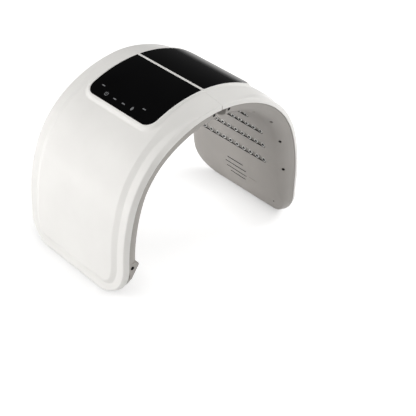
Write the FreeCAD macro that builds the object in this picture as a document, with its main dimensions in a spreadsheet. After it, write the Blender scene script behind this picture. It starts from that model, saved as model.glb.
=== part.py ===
import FreeCAD, Part
import Sketcher
import math
import os
from FreeCAD import Placement, Rotation, Vector

# Folding light-therapy arch.  Two hollow halves meet at a hinge over the user's
# face.  Frame: +X to the right half, -Y to the front, +Z up.  The origin is on the
# ground between the two feet, midway between front and back.
#
# Every half is drawn on the +X side.  The left half is the same shape turned half
# a turn about Z, so before the turn its front edge is at +Y.
#
# Places on a half are given by three numbers: the distance along the rim curve from
# the seam, y across the half, and the height outward from the rim curve.

doc = FreeCAD.newDocument("light_therapy_arch")

# ---------------------------------------------------------------- driving sizes
DIMS = [
    # rim curve of the arch: three tangent arcs and a straight leg (mm, degrees)
    ("crown_radius", 210.0), ("crown_angle", 29.0),
    ("shoulder_radius", 158.0), ("shoulder_angle", 43.5),
    ("side_radius", 294.0), ("side_angle", 17.5),
    ("leg_length", 82.0),
    # front to back
    ("depth_top", 236.0), ("depth_foot", 246.0), ("foot_corner_radius", 45.0),
    # shell section: heights are measured outward from the rim curve
    ("seam_gap", 0.35), ("rim_height", 8.0), ("plateau_height", 4.0),
    ("plateau_inset", 18.0), ("pad_height", 8.2), ("pad_half_width", 77.6),
    ("band_height_at_seam", 6.4), ("pad_length", 109.5),
    ("skin_lower_face", 1.2), ("side_wall", 12.0),
    # panel
    ("panel_thickness", 1.4), ("panel_half_width", 74.8), ("panel_recess", 1.8),
    ("panel_start", 2.2), ("panel_end", 106.2), ("panel_corner_radius", 17.0),
    # inner cover: thickness of the half, rim curve to inner floor, at six marks
    ("half_thickness_1", 26.0), ("half_thickness_2", 31.2), ("half_thickness_3", 36.8),
    ("half_thickness_4", 33.1), ("half_thickness_5", 25.6), ("half_thickness_6", 10.0),
    ("parting_groove", 0.7), ("floor_thickness", 3.0), ("wall_drop", 9.0),
    ("lip_width", 25.0), ("floor_side_wall", 27.0),
    # hinge
    ("hinge_drop", 19.0), ("barrel_radius", 8.5), ("pin_radius", 3.0), ("pin_clearance", 0.05),
    ("hinge_front", -96.0), ("sleeve_radius", 8.7),
    ("front_sleeve_length", 14.0), ("rear_sleeve_length", 27.0), ("knuckle_gap", 0.4),
    ("knuckle_1", 23.0), ("knuckle_2", 31.0), ("knuckle_3", 36.0),
    ("knuckle_4", 31.0), ("knuckle_5", 34.0), ("knuckle_6", 16.0),
    ("leaf_thickness", 2.4), ("leaf_reach", 34.0), ("cap_thickness", 2.0),
    # light rows: distance along the rim curve, half length of the row, nominal pitch
    ("row_1_at", 288.0), ("row_2_at", 251.0), ("row_3_at", 213.5), ("row_4_at", 178.0),
    ("row_1_half", 73.0), ("row_2_half", 73.0), ("row_3_half", 73.0), ("row_4_half", 48.6),
    ("led_pitch", 16.2), ("led_radius", 2.9), ("slot_half_width", 4.6),
    # boards
    ("board_thickness", 1.6), ("led_board_half_width", 84.0),
    ("control_board_length", 96.0), ("control_board_width", 120.0),
    # screws
    ("cover_screw_radius", 1.5), ("cover_screw_head_radius", 2.8), ("cover_screw_length", 10.0),
    ("leaf_screw_radius", 1.5), ("leaf_screw_head_radius", 2.9), ("leaf_screw_length", 8.5),
    # power socket
    ("jack_radius", 4.6), ("jack_hole_radius", 2.75), ("jack_pin_radius", 1.0),
    ("jack_length", 13.0), ("jack_at", 327.0), ("jack_depth", 14.4),
    ("wire_radius", 2.2),
    # round bushes in the front corners of the halves beside the seam; the drop is
    # below the hinge line, so a negative one lies above it
    ("bush_radius", 2.6), ("bush_length", 8.0), ("bush_at", 15.2), ("bush_drop", -6.9),
    ("bush_set_back", 1.6),
]
sheet = doc.addObject("Spreadsheet::Sheet", "dims")
for row, (alias, value) in enumerate(DIMS, start=1):
    sheet.set("A%d" % row, alias)
    sheet.set("B%d" % row, repr(value))
    sheet.setAlias("B%d" % row, alias)
doc.recompute()


class Size:
    """A size: its value now, and the sheet expression that gives it."""

    def __init__(self, value, text=None):
        self.value = float(value)
        self.text = text if text is not None else repr(float(value))

    def _of(self, other):
        return other if isinstance(other, Size) else Size(other)

    def __add__(self, other):
        other = self._of(other)
        return Size(self.value + other.value, "(%s + %s)" % (self.text, other.text))

    def __sub__(self, other):
        other = self._of(other)
        return Size(self.value - other.value, "(%s - %s)" % (self.text, other.text))

    def __mul__(self, other):
        other = self._of(other)
        return Size(self.value * other.value, "(%s * %s)" % (self.text, other.text))

    def __truediv__(self, other):
        other = self._of(other)
        return Size(self.value / other.value, "(%s / %s)" % (self.text, other.text))

    def __neg__(self):
        return Size(-self.value, "(0 - %s)" % self.text)

    def __rsub__(self, other):
        return self._of(other) - self


ZERO = Size(0.0)


def number(name):
    """A driving size as a plain number."""
    return getattr(sheet, name)


def dim(name):
    """A driving size that keeps its tie to the sheet."""
    return Size(number(name), "dims." + name)


def sine(angle):
    return Size(math.sin(math.radians(angle.value)), "sin(%s)" % angle.text)


def cosine(angle):
    return Size(math.cos(math.radians(angle.value)), "cos(%s)" % angle.text)


def bind(obj, prop, size):
    """Ties a property to the sheet, if its size depends on the sheet."""
    if "dims." in size.text:
        obj.setExpression(prop, size.text)


def set_size(obj, prop, size):
    setattr(obj, prop, size.value)
    bind(obj, prop, size)


# ---------------------------------------------------------------- the rim curve
ARC_NAMES = ("crown", "shoulder", "side")
ARC_RADII = [dim(name + "_radius") for name in ARC_NAMES]
ARC_ANGLES = [ZERO]  # slope of the curve where each arc starts, and at the last end
for name in ARC_NAMES:
    ARC_ANGLES.append(ARC_ANGLES[-1] + dim(name + "_angle"))

TOP = dim("leg_length")  # height of the rim curve at the seam
for i in (2, 1, 0):
    TOP = TOP + ARC_RADII[i] * (cosine(ARC_ANGLES[i]) - cosine(ARC_ANGLES[i + 1]))


def arc_point(i, angle, x, z):
    """Point of arc i where its slope is angle; the arc starts at x, z."""
    radius, start = ARC_RADII[i], ARC_ANGLES[i]
    return (x + radius * (sine(angle) - sine(start)),
            z - radius * (cosine(start) - cosine(angle)))


ARC_POINTS = [(ZERO, TOP)]  # x, z where each arc starts, and at the last end
ARC_MARKS = [0.0]           # distances from the seam of the same points
for i in range(3):
    ARC_POINTS.append(arc_point(i, ARC_ANGLES[i + 1], *ARC_POINTS[i]))
    turn = math.radians(ARC_ANGLES[i + 1].value - ARC_ANGLES[i].value)
    ARC_MARKS.append(ARC_MARKS[i] + ARC_RADII[i].value * turn)
CROWN_END, SHOULDER_END, SIDE_END = ARC_MARKS[1:]
LEG_END = SIDE_END + number("leg_length")


def station(distance):
    """Point x, z and slope angle of the rim curve, as sizes."""
    for i in range(3):
        if distance <= ARC_MARKS[i + 1]:
            run, start, radius = distance - ARC_MARKS[i], ARC_ANGLES[i], ARC_RADII[i]
            angle = Size(start.value + math.degrees(run / radius.value),
                         "(%s + %r / %s * 180 / pi)" % (start.text, run, radius.text))
            x, z = arc_point(i, angle, *ARC_POINTS[i])
            return x, z, angle
    x, z = ARC_POINTS[3]
    return x, z - (distance - SIDE_END), ARC_ANGLES[3]


def frame_at(distance, y, height):
    """A point on a half, its outward normal, and its tangent away from the seam."""
    x, z, angle = station(distance)
    slope = math.radians(angle.value)
    normal = Vector(math.sin(slope), 0, math.cos(slope))
    tangent = Vector(math.cos(slope), 0, -math.sin(slope))
    return Vector(x.value, y, z.value) + normal * height, normal, tangent


def ease(share):
    """Smooth step from 0 to 1."""
    return share * share * (3 - 2 * share)


FOOT_TAPER = LEG_END - 27.0  # the floor closes quickly on the rim from here down
FOOT_BULGE = LEG_END - 12.0  # extra station where the taper swells out
THICKNESSES = [dim("half_thickness_%d" % i) for i in range(1, 7)]
THICKNESS_MARKS = [0.0, CROWN_END, SHOULDER_END, SIDE_END, FOOT_TAPER, LEG_END]


def thickness(distance):
    """Rim curve to inner floor: eased in the first two runs, then straight runs."""
    marks = THICKNESS_MARKS
    i = next(i for i in range(5) if distance <= marks[i + 1] + 1e-6)
    share = (distance - marks[i]) / (marks[i + 1] - marks[i])
    if i < 2:
        share = ease(share)
    return THICKNESSES[i] * (1 - share) + THICKNESSES[i + 1] * share


def half_depth(distance):
    """Half of the front-to-back size."""
    z = station(distance)[1].value
    share = max(0.0, min(1.0, 1 - z / TOP.value))
    return (dim("depth_top") * (1 - share) + dim("depth_foot") * share) / 2


# ---------------------------------------------------------------- sketch helpers
# A loop is a list of (x, y, arc); arc describes the run to the next point and is
# None for a line or (radius, side), where side +1 bulges to the left.
def new_body(label):
    body = doc.addObject("PartDesign::Body", label + "_body")
    body.Label = label
    return body


def new_sketch(body, name, role, offset=None, bound=()):
    """Empty sketch on an origin plane; bound lists (property, size) of the offset."""
    sketch = body.newObject("Sketcher::SketchObject", name)
    plane = [f for f in body.Origin.OriginFeatures if f.Role == role][0]
    sketch.AttachmentSupport = [(plane, "")]
    sketch.MapMode = "FlatFace"
    if offset is not None:
        sketch.AttachmentOffset = offset
        for prop, size in bound:
            bind(sketch, prop, size)
    return sketch


def fix_point(sketch, geometry, vertex, x, y):
    """Dimensions a vertex from the origin, or puts it on an axis."""
    for kind, axis, size in (("DistanceX", -2, x), ("DistanceY", -1, y)):
        if abs(size.value) < 1e-9:
            sketch.addConstraint(
                Sketcher.Constraint("PointOnObject", geometry, vertex, axis))
        else:
            index = sketch.addConstraint(
                Sketcher.Constraint(kind, -1, 1, geometry, vertex, size.value))
            bind(sketch, "Constraints[%d]" % index, size)


def fix_radius(sketch, geometry, radius):
    index = sketch.addConstraint(Sketcher.Constraint("Radius", geometry, radius.value))
    bind(sketch, "Constraints[%d]" % index, radius)


def run_geometry(start, end, arc):
    """The line or arc between two points."""
    if arc is None:
        return Part.LineSegment(start, end)
    radius, side = arc[0].value, arc[1]
    chord = end - start
    left = Vector(-chord.y, chord.x, 0).normalize()
    to_centre = math.sqrt(radius ** 2 - (chord.Length / 2) ** 2)
    middle = (start + end) * 0.5 + left * side * (radius - to_centre)
    return Part.Arc(start, middle, end)


def add_loop(sketch, base, loop):
    """Adds one closed loop whose first geometry gets the index base."""
    count = len(loop)
    points = [Vector(x.value, y.value, 0) for x, y, arc in loop]
    sketch.addGeometry([run_geometry(points[i], points[(i + 1) % count], loop[i][2])
                        for i in range(count)], False)
    # an arc always runs counter-clockwise, so its ends may be swapped
    ends = []
    for i in range(count):
        straight = loop[i][2] is None
        forward = straight or (sketch.getPoint(base + i, 1) - points[i]).Length < 1e-6
        ends.append((1, 2) if forward else (2, 1))
    for i in range(count):
        j = (i + 1) % count
        sketch.addConstraint(Sketcher.Constraint(
            "Coincident", base + i, ends[i][1], base + j, ends[j][0]))
    for i, (x, y, arc) in enumerate(loop):
        fix_point(sketch, base + i, ends[i][0], x, y)
        if arc is not None:
            fix_radius(sketch, base + i, arc[0])


def loop_sketch(body, name, role, loops, offset=None, bound=()):
    """A fully dimensioned sketch of closed loops."""
    sketch = new_sketch(body, name, role, offset, bound)
    base = 0
    for loop in loops:
        add_loop(sketch, base, loop)
        base += len(loop)
    return sketch


def circle_sketch(body, name, circles, offset=None, bound=()):
    """A dimensioned sketch of circles (x, y, radius) on the XY plane."""
    sketch = new_sketch(body, name, "XY_Plane", offset, bound)
    for i, (x, y, radius) in enumerate(circles):
        sketch.addGeometry(
            Part.Circle(Vector(x.value, y.value, 0), Vector(0, 0, 1), radius.value), False)
        fix_point(sketch, i, 3, x, y)
        fix_radius(sketch, i, radius)
    return sketch


def polygon(points):
    return [(x, y, None) for x, y in points]


# ---------------------------------------------------------------- feature helpers
def extrude(body, kind, name, sketch, length, symmetric=True):
    """A Pad or Pocket."""
    result = body.newObject("PartDesign::" + kind, name)
    result.Profile = sketch
    if symmetric:
        result.SideType = "Symmetric"
    set_size(result, "Length", length)
    sketch.Visibility = False
    return result


def extrude_across(body, kind, sketch_name, name, loop, width):
    """A Pad or Pocket of an XZ loop, spread evenly to the front and the back."""
    sketch = loop_sketch(body, sketch_name, "XZ_Plane", [loop])
    return extrude(body, kind, name, sketch, width)


def strip_body(label, loop, width):
    """A body made of one pad across the half."""
    body = new_body(label)
    pad = extrude_across(body, "Pad", label + "_sketch", label + "_pad", loop, width)
    return body, pad


def fillet(body, name, base, radius, chosen):
    """Rounds the edges of the body that chosen(edge) picks."""
    doc.recompute()
    edges = ["Edge%d" % i for i, edge in enumerate(body.Shape.Edges, start=1) if chosen(edge)]
    result = body.newObject("PartDesign::Fillet", name)
    result.Base = (base, edges)
    set_size(result, "Radius", radius)
    body.Tip = result


def rim_chain(height, start, end):
    """The rim curve offset outward by height, between two distances."""
    inside = [m for m in ARC_MARKS[1:] if start + 1e-6 < m < end - 1e-6]
    marks = [start] + inside + [end]
    chain = []
    for i, mark in enumerate(marks):
        x, z, angle = station(mark)
        arc = None
        if i < len(marks) - 1:
            middle = (mark + marks[i + 1]) / 2
            for radius, arc_end in zip(ARC_RADII, ARC_MARKS[1:]):
                if middle < arc_end:
                    arc = (radius + height, +1)
                    break
        chain.append((x + height * sine(angle), z + height * cosine(angle), arc))
    return chain


def reverse_chain(chain):
    """The same run walked the other way."""
    result = []
    for i in range(len(chain) - 1, -1, -1):
        arc = chain[i - 1][2] if i > 0 else None
        result.append((chain[i][0], chain[i][1], None if arc is None else (arc[0], -arc[1])))
    return result


def band_loop(outer, inner, start, end):
    """Closed profile between two offsets of the rim curve."""
    return rim_chain(outer, start, end) + reverse_chain(rim_chain(inner, start, end))


FLOOR_MARKS = [CROWN_END / 2, CROWN_END, (CROWN_END + SHOULDER_END) / 2, SHOULDER_END,
               (SHOULDER_END + SIDE_END) / 2, SIDE_END, LEG_END - 50.0, FOOT_TAPER, FOOT_BULGE]


def floor_chain(lift, start, end):
    """The inner floor curve moved outward by lift, as arcs through middle points."""
    marks = [start] + [m for m in FLOOR_MARKS if start + 4 < m < end - 4] + [end]
    chain = []
    for i, mark in enumerate(marks):
        x, z, angle = station(mark)
        height = lift - thickness(mark)
        arc = None
        if i < len(marks) - 1:
            points = []
            for distance in (mark, (mark + marks[i + 1]) / 2, marks[i + 1]):
                point = frame_at(distance, 0.0, lift.value - thickness(distance).value)[0]
                points.append(Vector(point.x, point.z, 0))
            cross = (points[1] - points[0]).cross(points[2] - points[0])
            if abs(cross.z) > 1e-3:
                radius = Part.Arc(*points).toShape().Curve.Radius
                arc = (Size(radius), +1 if cross.z < 0 else -1)
        chain.append((x + height * sine(angle), z + height * cosine(angle), arc))
    return chain


def section(body, name, distance, points):
    """A closed polygon across the half, square to the rim: points are (y, height)."""
    x, z, angle = station(distance)
    offset = Placement(Vector(0, z.value, x.value), Rotation(Vector(1, 0, 0), angle.value))
    return loop_sketch(body, name, "YZ_Plane", [polygon(points)], offset,
                       [("AttachmentOffset.Base.y", z), ("AttachmentOffset.Base.z", x)])


def loft(body, name, sketches):
    result = body.newObject("PartDesign::AdditiveLoft", name)
    result.Profile = sketches[0]
    result.Sections = sketches[1:]
    result.Ruled = False
    result.Closed = False
    for sketch in sketches:
        sketch.Visibility = False


def outline_trim(body, name):
    """Cuts everything outside the half's outline seen from the side: straight
    front and back edges that spread slightly to the foot, and round foot corners."""
    corner, top, foot = dim("foot_corner_radius"), dim("depth_top") / 2, dim("depth_foot") / 2
    high = TOP + 30
    inner = [
        (-top, high, None), (-foot, corner, (corner, -1)), (corner - foot, ZERO, None),
        (foot - corner, ZERO, (corner, -1)), (foot, corner, None), (top, high, None),
    ]
    side, bottom, above = Size(170.0), Size(-25.0), TOP + 60
    outer = polygon([(-side, bottom), (side, bottom), (side, above), (-side, above)])
    sketch = loop_sketch(body, name + "_sketch", "YZ_Plane", [outer, inner])
    extrude(body, "Pocket", name, sketch, Size(900.0))


# ---------------------------------------------------------------- solid helpers
HALF_TURN = Placement(Vector(0, 0, 0), Rotation(Vector(0, 0, 1), 180))
UPRIGHT = Rotation()
ALONG_Y = Rotation(Vector(1, 0, 0), -90)
kept = []  # (object, label) of every piece to export


def keep(obj, label, turned=False):
    obj.Label = label
    if turned:
        obj.Placement = HALF_TURN
    kept.append((obj, label))


def primitive(kind, name, sizes, corner, rotation):
    solid = doc.addObject(kind, name)
    for prop, size in sizes:
        set_size(solid, prop, size)
    solid.Placement = Placement(Vector(*[size.value for size in corner]), rotation)
    for axis, size in zip("xyz", corner):
        bind(solid, "Placement.Base." + axis, size)
    return solid


def box(name, length, width, height, corner):
    sizes = [("Length", length), ("Width", width), ("Height", height)]
    return primitive("Part::Box", name, sizes, corner, UPRIGHT)


def cylinder(name, radius, length, start, rotation=ALONG_Y):
    sizes = [("Radius", radius), ("Height", length)]
    return primitive("Part::Cylinder", name, sizes, start, rotation)


def fuse(name, shapes):
    result = doc.addObject("Part::MultiFuse", name)
    result.Shapes = shapes
    return result


def cut(name, base, tool):
    result = doc.addObject("Part::Cut", name)
    result.Base = base
    result.Tool = tool
    return result


def shape_object(name, shape):
    result = doc.addObject("Part::Feature", name)
    result.Shape = shape
    return result


def keep_group(label, solids, turned=False):
    keep(shape_object(label + "_group", Part.makeCompound(solids)), label, turned)


def placed(shape, origin, z_axis, x_axis):
    """Copy of the shape with its +Z along z_axis and its +X close to x_axis."""
    result = shape.copy()
    rotation = Rotation(x_axis, Vector(0, 0, 0), z_axis, "ZXY")
    result.Placement = Placement(origin, rotation).multiply(result.Placement)
    return result


# ---------------------------------------------------------------- places on the halves
STATIONS = [0.0, 53.0, CROWN_END, 146.0, 186.0, SHOULDER_END, 271.0, SIDE_END, 357.0, LEG_END]
INNER_START = 11.6  # the inner cover begins here, clear of the hinge
ROWS = [(number("row_%d_at" % i), number("row_%d_half" % i)) for i in range(1, 5)]
# vent slots: distance, and y of the two ends
VENTS = [(330.0, 17.0, -22.0), (340.5, 22.0, -30.0), (350.5, 20.0, -30.5), (359.0, 11.0, -27.0)]
# cover screws: distance, inset from the edge, depth of the recess floor below the rim
SCREWS = [(92.0, 9.0, 13.0), (158.0, 9.0, 15.0), (223.0, 9.0, 15.0), (291.0, 8.5, 13.5)]
# the same on both edges: distance, y, depth
SCREW_PLACES = [(distance, sign * (half_depth(distance).value - inset), depth)
                for distance, inset, depth in SCREWS for sign in (-1, 1)]

HINGE_Z = TOP - dim("hinge_drop")
LEAF_BOTTOM = HINGE_Z + dim("barrel_radius") - dim("leaf_thickness")
LEAF_SCREW_X = 25.0
LEAF_SCREW_Y = [-62.0, -21.0, 21.0, 62.0]
BUSH_Z = HINGE_Z - dim("bush_drop")

SIDE_EXCESS = 1.0   # lofts stand this far past the outline before it is trimmed
TOOL_START = 3.0    # floor cuts start this far inside the inner floor
HOLE_PLAY = 0.05    # on the radius of pilot holes and the socket bay

# touch sensor board and the bay for it under the panel
SENSOR_START, SENSOR_END, SENSOR_WIDTH = 38.0, 99.0, 128.0
SENSOR_TOP_GAP, SENSOR_BOTTOM_GAP = 1.15, 2.55  # below the floor of the panel recess
BAY_START, BAY_END, BAY_WIDTH, BAY_SKIN = 34.0, 101.0, 136.0, 1.0
PANEL_FLOOR = dim("pad_height") - dim("panel_recess")
PANEL_PLAY = 0.2
PANEL_SIDE_PLAY = 0.25
PANEL_SINK = 0.3    # panel face below the top of the pad


# ---------------------------------------------------------------- outer cover
BAND_BLEND = 1.18   # the crown section fades out over this many pad lengths
BOSS_RADIUS = 3.6
BOSS_HEIGHT = 13.0


def outer_section(body, side, index, distance):
    """Crowned skin section: wide and high by the seam, a low plateau further down."""
    edge = half_depth(distance)
    width = edge + SIDE_EXCESS
    blend = ease(min(1.0, distance / (number("pad_length") * BAND_BLEND)))
    flat = dim("pad_half_width") * (1 - blend) + (edge - dim("plateau_inset")) * blend
    height = dim("band_height_at_seam") * (1 - blend) + dim("plateau_height") * blend
    low = -dim("rim_height")
    return section(body, "%s_shell_section_%d" % (side, index), distance,
                   [(-width, low), (width, low), (width, ZERO),
                    (flat, height), (-flat, height), (-width, ZERO)])


def outer_holes():
    """Pilot holes for the cover screws and the hinge leaf screws."""
    tools = []
    for distance, y, depth in SCREW_PLACES:
        point, normal, _ = frame_at(distance, y, -depth + 1.0)
        tools.append(Part.makeCylinder(number("cover_screw_radius") + HOLE_PLAY,
                                       number("cover_screw_length") + 0.6, point, normal))
    for y in LEAF_SCREW_Y:
        tools.append(Part.makeCylinder(
            number("leaf_screw_radius") + HOLE_PLAY, number("leaf_screw_length") + 0.5,
            Vector(LEAF_SCREW_X, y, LEAF_BOTTOM.value - 0.5), Vector(0, 0, 1)))
    return Part.makeCompound(tools)


def build_outer_cover(side, turned):
    """Moulded cover: crowned skin, raised panel pad, plain side bands."""
    body = new_body(side + "_outer_cover_blank")
    loft(body, side + "_shell_loft",
         [outer_section(body, side, i, distance) for i, distance in enumerate(STATIONS)])
    # raised pad that carries the panel
    extrude_across(body, "Pad", side + "_pad_sketch", side + "_pad",
                   band_loop(dim("pad_height"), ZERO, 0.0, number("pad_length")),
                   dim("pad_half_width") * 2)

    def pocket(sketch_name, name, loop, width):
        extrude_across(body, "Pocket", side + sketch_name, side + name, loop, width)

    # the seam face stands back from the middle plane
    gap, beyond, low, high = dim("seam_gap"), Size(-30.0), TOP - 60, TOP + 40
    pocket("_seam_sketch", "_seam_trim",
           polygon([(beyond, low), (gap, low), (gap, high), (beyond, high)]), Size(400.0))
    pocket("_recess_sketch", "_panel_recess",
           band_loop(dim("pad_height") + 4, PANEL_FLOOR,
                     number("panel_start") - PANEL_PLAY, number("panel_end") + PANEL_PLAY),
           (dim("panel_half_width") + PANEL_SIDE_PLAY) * 2)
    # hollow behind the skin, wide down to the foot corners, then narrow
    skin, low = dim("skin_lower_face"), -dim("rim_height") - 2
    pocket("_hollow_sketch", "_hollow", band_loop(skin, low, 5.0, LEG_END - 50.0),
           (dim("depth_top") / 2 - dim("side_wall")) * 2)
    pocket("_foot_hollow_sketch", "_foot_hollow",
           band_loop(skin, low, LEG_END - 52.0, LEG_END - 14.0),
           (dim("depth_foot") / 2 - dim("foot_corner_radius") - 4) * 2)
    # thinner skin under the panel, where the sensor board sits
    pocket("_sensor_sketch", "_sensor_bay",
           band_loop(PANEL_FLOOR - BAY_SKIN, ZERO, BAY_START, BAY_END), Size(BAY_WIDTH))
    outline_trim(body, side + "_outer_outline")
    # bosses for the hinge leaf screws, just above the leaf
    boss_z = LEAF_BOTTOM + dim("leaf_thickness") + 0.1
    bosses = circle_sketch(body, side + "_boss_sketch",
                           [(Size(LEAF_SCREW_X), Size(y), Size(BOSS_RADIUS))
                            for y in LEAF_SCREW_Y],
                           Placement(Vector(0, 0, boss_z.value), Rotation()),
                           [("AttachmentOffset.Base.z", boss_z)])
    extrude(body, "Pad", side + "_bosses", bosses, Size(BOSS_HEIGHT), symmetric=False)
    holes = shape_object(side + "_outer_holes", outer_holes())
    keep(cut(side + "_outer_cover_cut", body, holes), side + "_outer_cover", turned)


# ---------------------------------------------------------------- inner cover
# the side wall is deeper, and the lip wider, where the half is thicker
WALL_BASE_THICKNESS = 8.7
WALL_THICKNESS_RANGE = 28.1
LIP_LEAST = 0.25        # share of the lip width left at the base thickness
KNEE_ACROSS = 0.30      # knee between wall and floor, as shares of the way
KNEE_DOWN = 0.62
UPPER_TRAY_DEPTH = 16.0
UPPER_TRAY_WALL = 15.0
TRAY_START = 2.0
SLOT_END_MARGIN = 5.6   # slot past the last lamp centre
SLOT_CUT_DEPTH = 9.0
VENT_WIDTH = 1.6
VENT_CUT_DEPTH = 60.0
# outline of the socket housing: along the rim from the socket, height
HOUSING_BOTTOM = [(9.0, -27.0), (-4.0, -31.0)]
HOUSING_HALF_TOP = 11.0
HOUSING_INSET = 1.2
HOUSING_LENGTH = 24.0


def inner_section(body, side, index, distance):
    """Side walls that round over a knee into the floor."""
    edge = half_depth(distance)
    depth = thickness(distance)
    if distance == FOOT_BULGE:
        depth = dim("half_thickness_6") * 0.5 + dim("half_thickness_5") * 0.5 + 2.0
    top = -dim("rim_height") - dim("parting_groove")
    share = (depth - WALL_BASE_THICKNESS) / WALL_THICKNESS_RANGE
    wall = top - dim("wall_drop") * share
    lip = dim("lip_width") * (LIP_LEAST + (1 - LIP_LEAST) * share.value)
    knee = (edge - lip * KNEE_ACROSS, wall - (depth + wall) * KNEE_DOWN)
    outside = edge + SIDE_EXCESS
    half = [(outside, top), (outside, wall), knee, (edge - lip, -depth)]
    return section(body, "%s_floor_section_%d" % (side, index), distance,
                   half + [(-y, height) for y, height in reversed(half)])


def light_slots():
    """Round-ended slots through the floor, one for each light row."""
    tools = []
    radius = number("slot_half_width")
    for distance, half in ROWS:
        point, normal, _ = frame_at(distance, 0.0, -thickness(distance).value - TOOL_START)
        centre = half + SLOT_END_MARGIN - radius
        slot = Part.makeBox(2 * centre, 2 * radius, SLOT_CUT_DEPTH, Vector(-centre, -radius, 0))
        slot = slot.fuse([Part.makeCylinder(radius, SLOT_CUT_DEPTH, Vector(x, 0, 0))
                          for x in (-centre, centre)]).removeSplitter()
        tools.append(placed(slot, point, normal, Vector(0, 1, 0)))
    return tools


def vent_slots(sign):
    """Vents; the sign undoes the half turn, so both halves get them at the same y."""
    tools = []
    for distance, *ends in VENTS:
        point, normal, _ = frame_at(distance, 0.0, -thickness(distance).value - TOOL_START)
        low, high = sorted(sign * y for y in ends)
        slot = Part.makeBox(high - low, VENT_WIDTH, VENT_CUT_DEPTH,
                            Vector(low, -VENT_WIDTH / 2, 0))
        tools.append(placed(slot, point, normal, Vector(0, 1, 0)))
    return tools


def cover_screw_holes():
    """Recess, through hole and countersink for each cover screw."""
    tools = []
    head, shank = number("cover_screw_head_radius"), number("cover_screw_radius")
    for distance, y, depth in SCREW_PLACES:
        point, normal, _ = frame_at(distance, y, -depth)
        tools.append(Part.makeCylinder(head + 0.5, 40.0, point, normal * -1))
        tools.append(Part.makeCylinder(shank + 0.2, 30.0, point, normal))
        tools.append(Part.makeCone(head + 0.15, shank + 0.1, head - shank + 0.3, point, normal))
    return tools


def jack_point():
    """Middle of the power socket on the left half's front edge, before the turn."""
    distance = number("jack_at")
    return frame_at(distance, half_depth(distance).value, -number("jack_depth"))[0]


def jack_bay():
    """Space for the power socket, before the half turn."""
    return Part.makeCylinder(number("jack_radius") + HOLE_PLAY, number("jack_length") + 4.2,
                             jack_point() + Vector(0, 1.0, 0), Vector(0, -1, 0))


def jack_housing():
    """Four-sided housing round the power socket, before the half turn."""
    distance = number("jack_at")
    y = half_depth(distance).value - HOUSING_INSET
    top = -(number("rim_height") + number("parting_groove"))
    outline = [(-HOUSING_HALF_TOP, top), (HOUSING_HALF_TOP, top)] + HOUSING_BOTTOM
    corners = []
    for run, height in outline:
        point, _, tangent = frame_at(distance, y, height)
        corners.append(point + tangent * run)
    face = Part.Face(Part.makePolygon(corners + [corners[0]]))
    return face.extrude(Vector(0, -HOUSING_LENGTH, 0))


def bush_hole(sign):
    """Hole from the front edge; sign is +1 for the half that stays in place."""
    return Part.makeCylinder(
        number("bush_radius") + 0.1, number("bush_length") + 2.3,
        Vector(number("bush_at"), -sign * (number("depth_top") / 2 + 0.5), BUSH_Z.value),
        Vector(0, sign, 0))


def build_inner_cover(side, turned):
    """Inner cover: side walls that round over into the floor facing the user."""
    body = new_body(side + "_inner_cover_blank")
    marks = [INNER_START] + STATIONS[1:-1] + [FOOT_TAPER, FOOT_BULGE, LEG_END]
    loft(body, side + "_floor_loft",
         [inner_section(body, side, i, distance) for i, distance in enumerate(marks)])
    # hollow above the floor, and a wider shallow one above it
    tray_end = LEG_END - 52.0
    floor = reverse_chain(floor_chain(dim("floor_thickness"), TRAY_START, tray_end))
    extrude_across(body, "Pocket", side + "_tray_sketch", side + "_tray_hollow",
                   rim_chain(ZERO, TRAY_START, tray_end) + floor,
                   (dim("depth_top") / 2 - dim("floor_side_wall")) * 2)
    extrude_across(body, "Pocket", side + "_upper_tray_sketch", side + "_upper_tray",
                   band_loop(ZERO, Size(-UPPER_TRAY_DEPTH), TRAY_START, LEG_END - 60.0),
                   (dim("depth_top") / 2 - UPPER_TRAY_WALL) * 2)
    outline_trim(body, side + "_inner_outline")

    sign = -1 if turned else 1
    tools = light_slots() + vent_slots(sign) + cover_screw_holes()
    if side == "left":
        tools.append(jack_bay())
    tools.append(bush_hole(sign))
    holes = shape_object(side + "_inner_holes", Part.makeCompound(tools))
    base = body
    if side == "left":
        base = fuse(side + "_inner_cover_blank_socket",
                    [body, shape_object("socket_housing", jack_housing())])
    keep(cut(side + "_inner_cover_cut", base, holes), side + "_inner_cover", turned)


# ---------------------------------------------------------------- panels and lights
LED_BOARD_START, LED_BOARD_END = 160.0, 304.0
LED_BOARD_LIFT = 0.6    # board above the floor
LED_RISE = 1.0          # straight part of a lamp below its dome
LED_BASE_LIFT = 0.15    # lamp base above the floor


def build_panel(label, turned):
    """Panel plate, curved to the crown, with two rounded far corners."""
    face = dim("pad_height") - PANEL_SINK
    loop = band_loop(face, face - dim("panel_thickness"),
                     number("panel_start"), number("panel_end"))
    body, plate = strip_body(label, loop, dim("panel_half_width") * 2)
    fillet(body, label + "_corners", plate, dim("panel_corner_radius"),
           lambda edge: abs(edge.Length - number("panel_thickness")) < 0.05
           and edge.CenterOfMass.x > 60)
    keep(body, label, turned)


def build_touch_sensor_board():
    """Curved board under the left half's panel."""
    label = "touch_sensor_board"
    loop = band_loop(PANEL_FLOOR - SENSOR_TOP_GAP, PANEL_FLOOR - SENSOR_BOTTOM_GAP,
                     SENSOR_START, SENSOR_END)
    keep(strip_body(label, loop, Size(SENSOR_WIDTH))[0], label, True)


def build_led_board(label, turned):
    """Thin board that follows the inner floor behind the light rows."""
    lift = dim("floor_thickness") + LED_BOARD_LIFT
    upper = floor_chain(lift + dim("board_thickness"), LED_BOARD_START, LED_BOARD_END)
    lower = reverse_chain(floor_chain(lift, LED_BOARD_START, LED_BOARD_END))
    body, _ = strip_body(label, upper + lower, dim("led_board_half_width") * 2)
    keep(body, label, turned)


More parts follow.
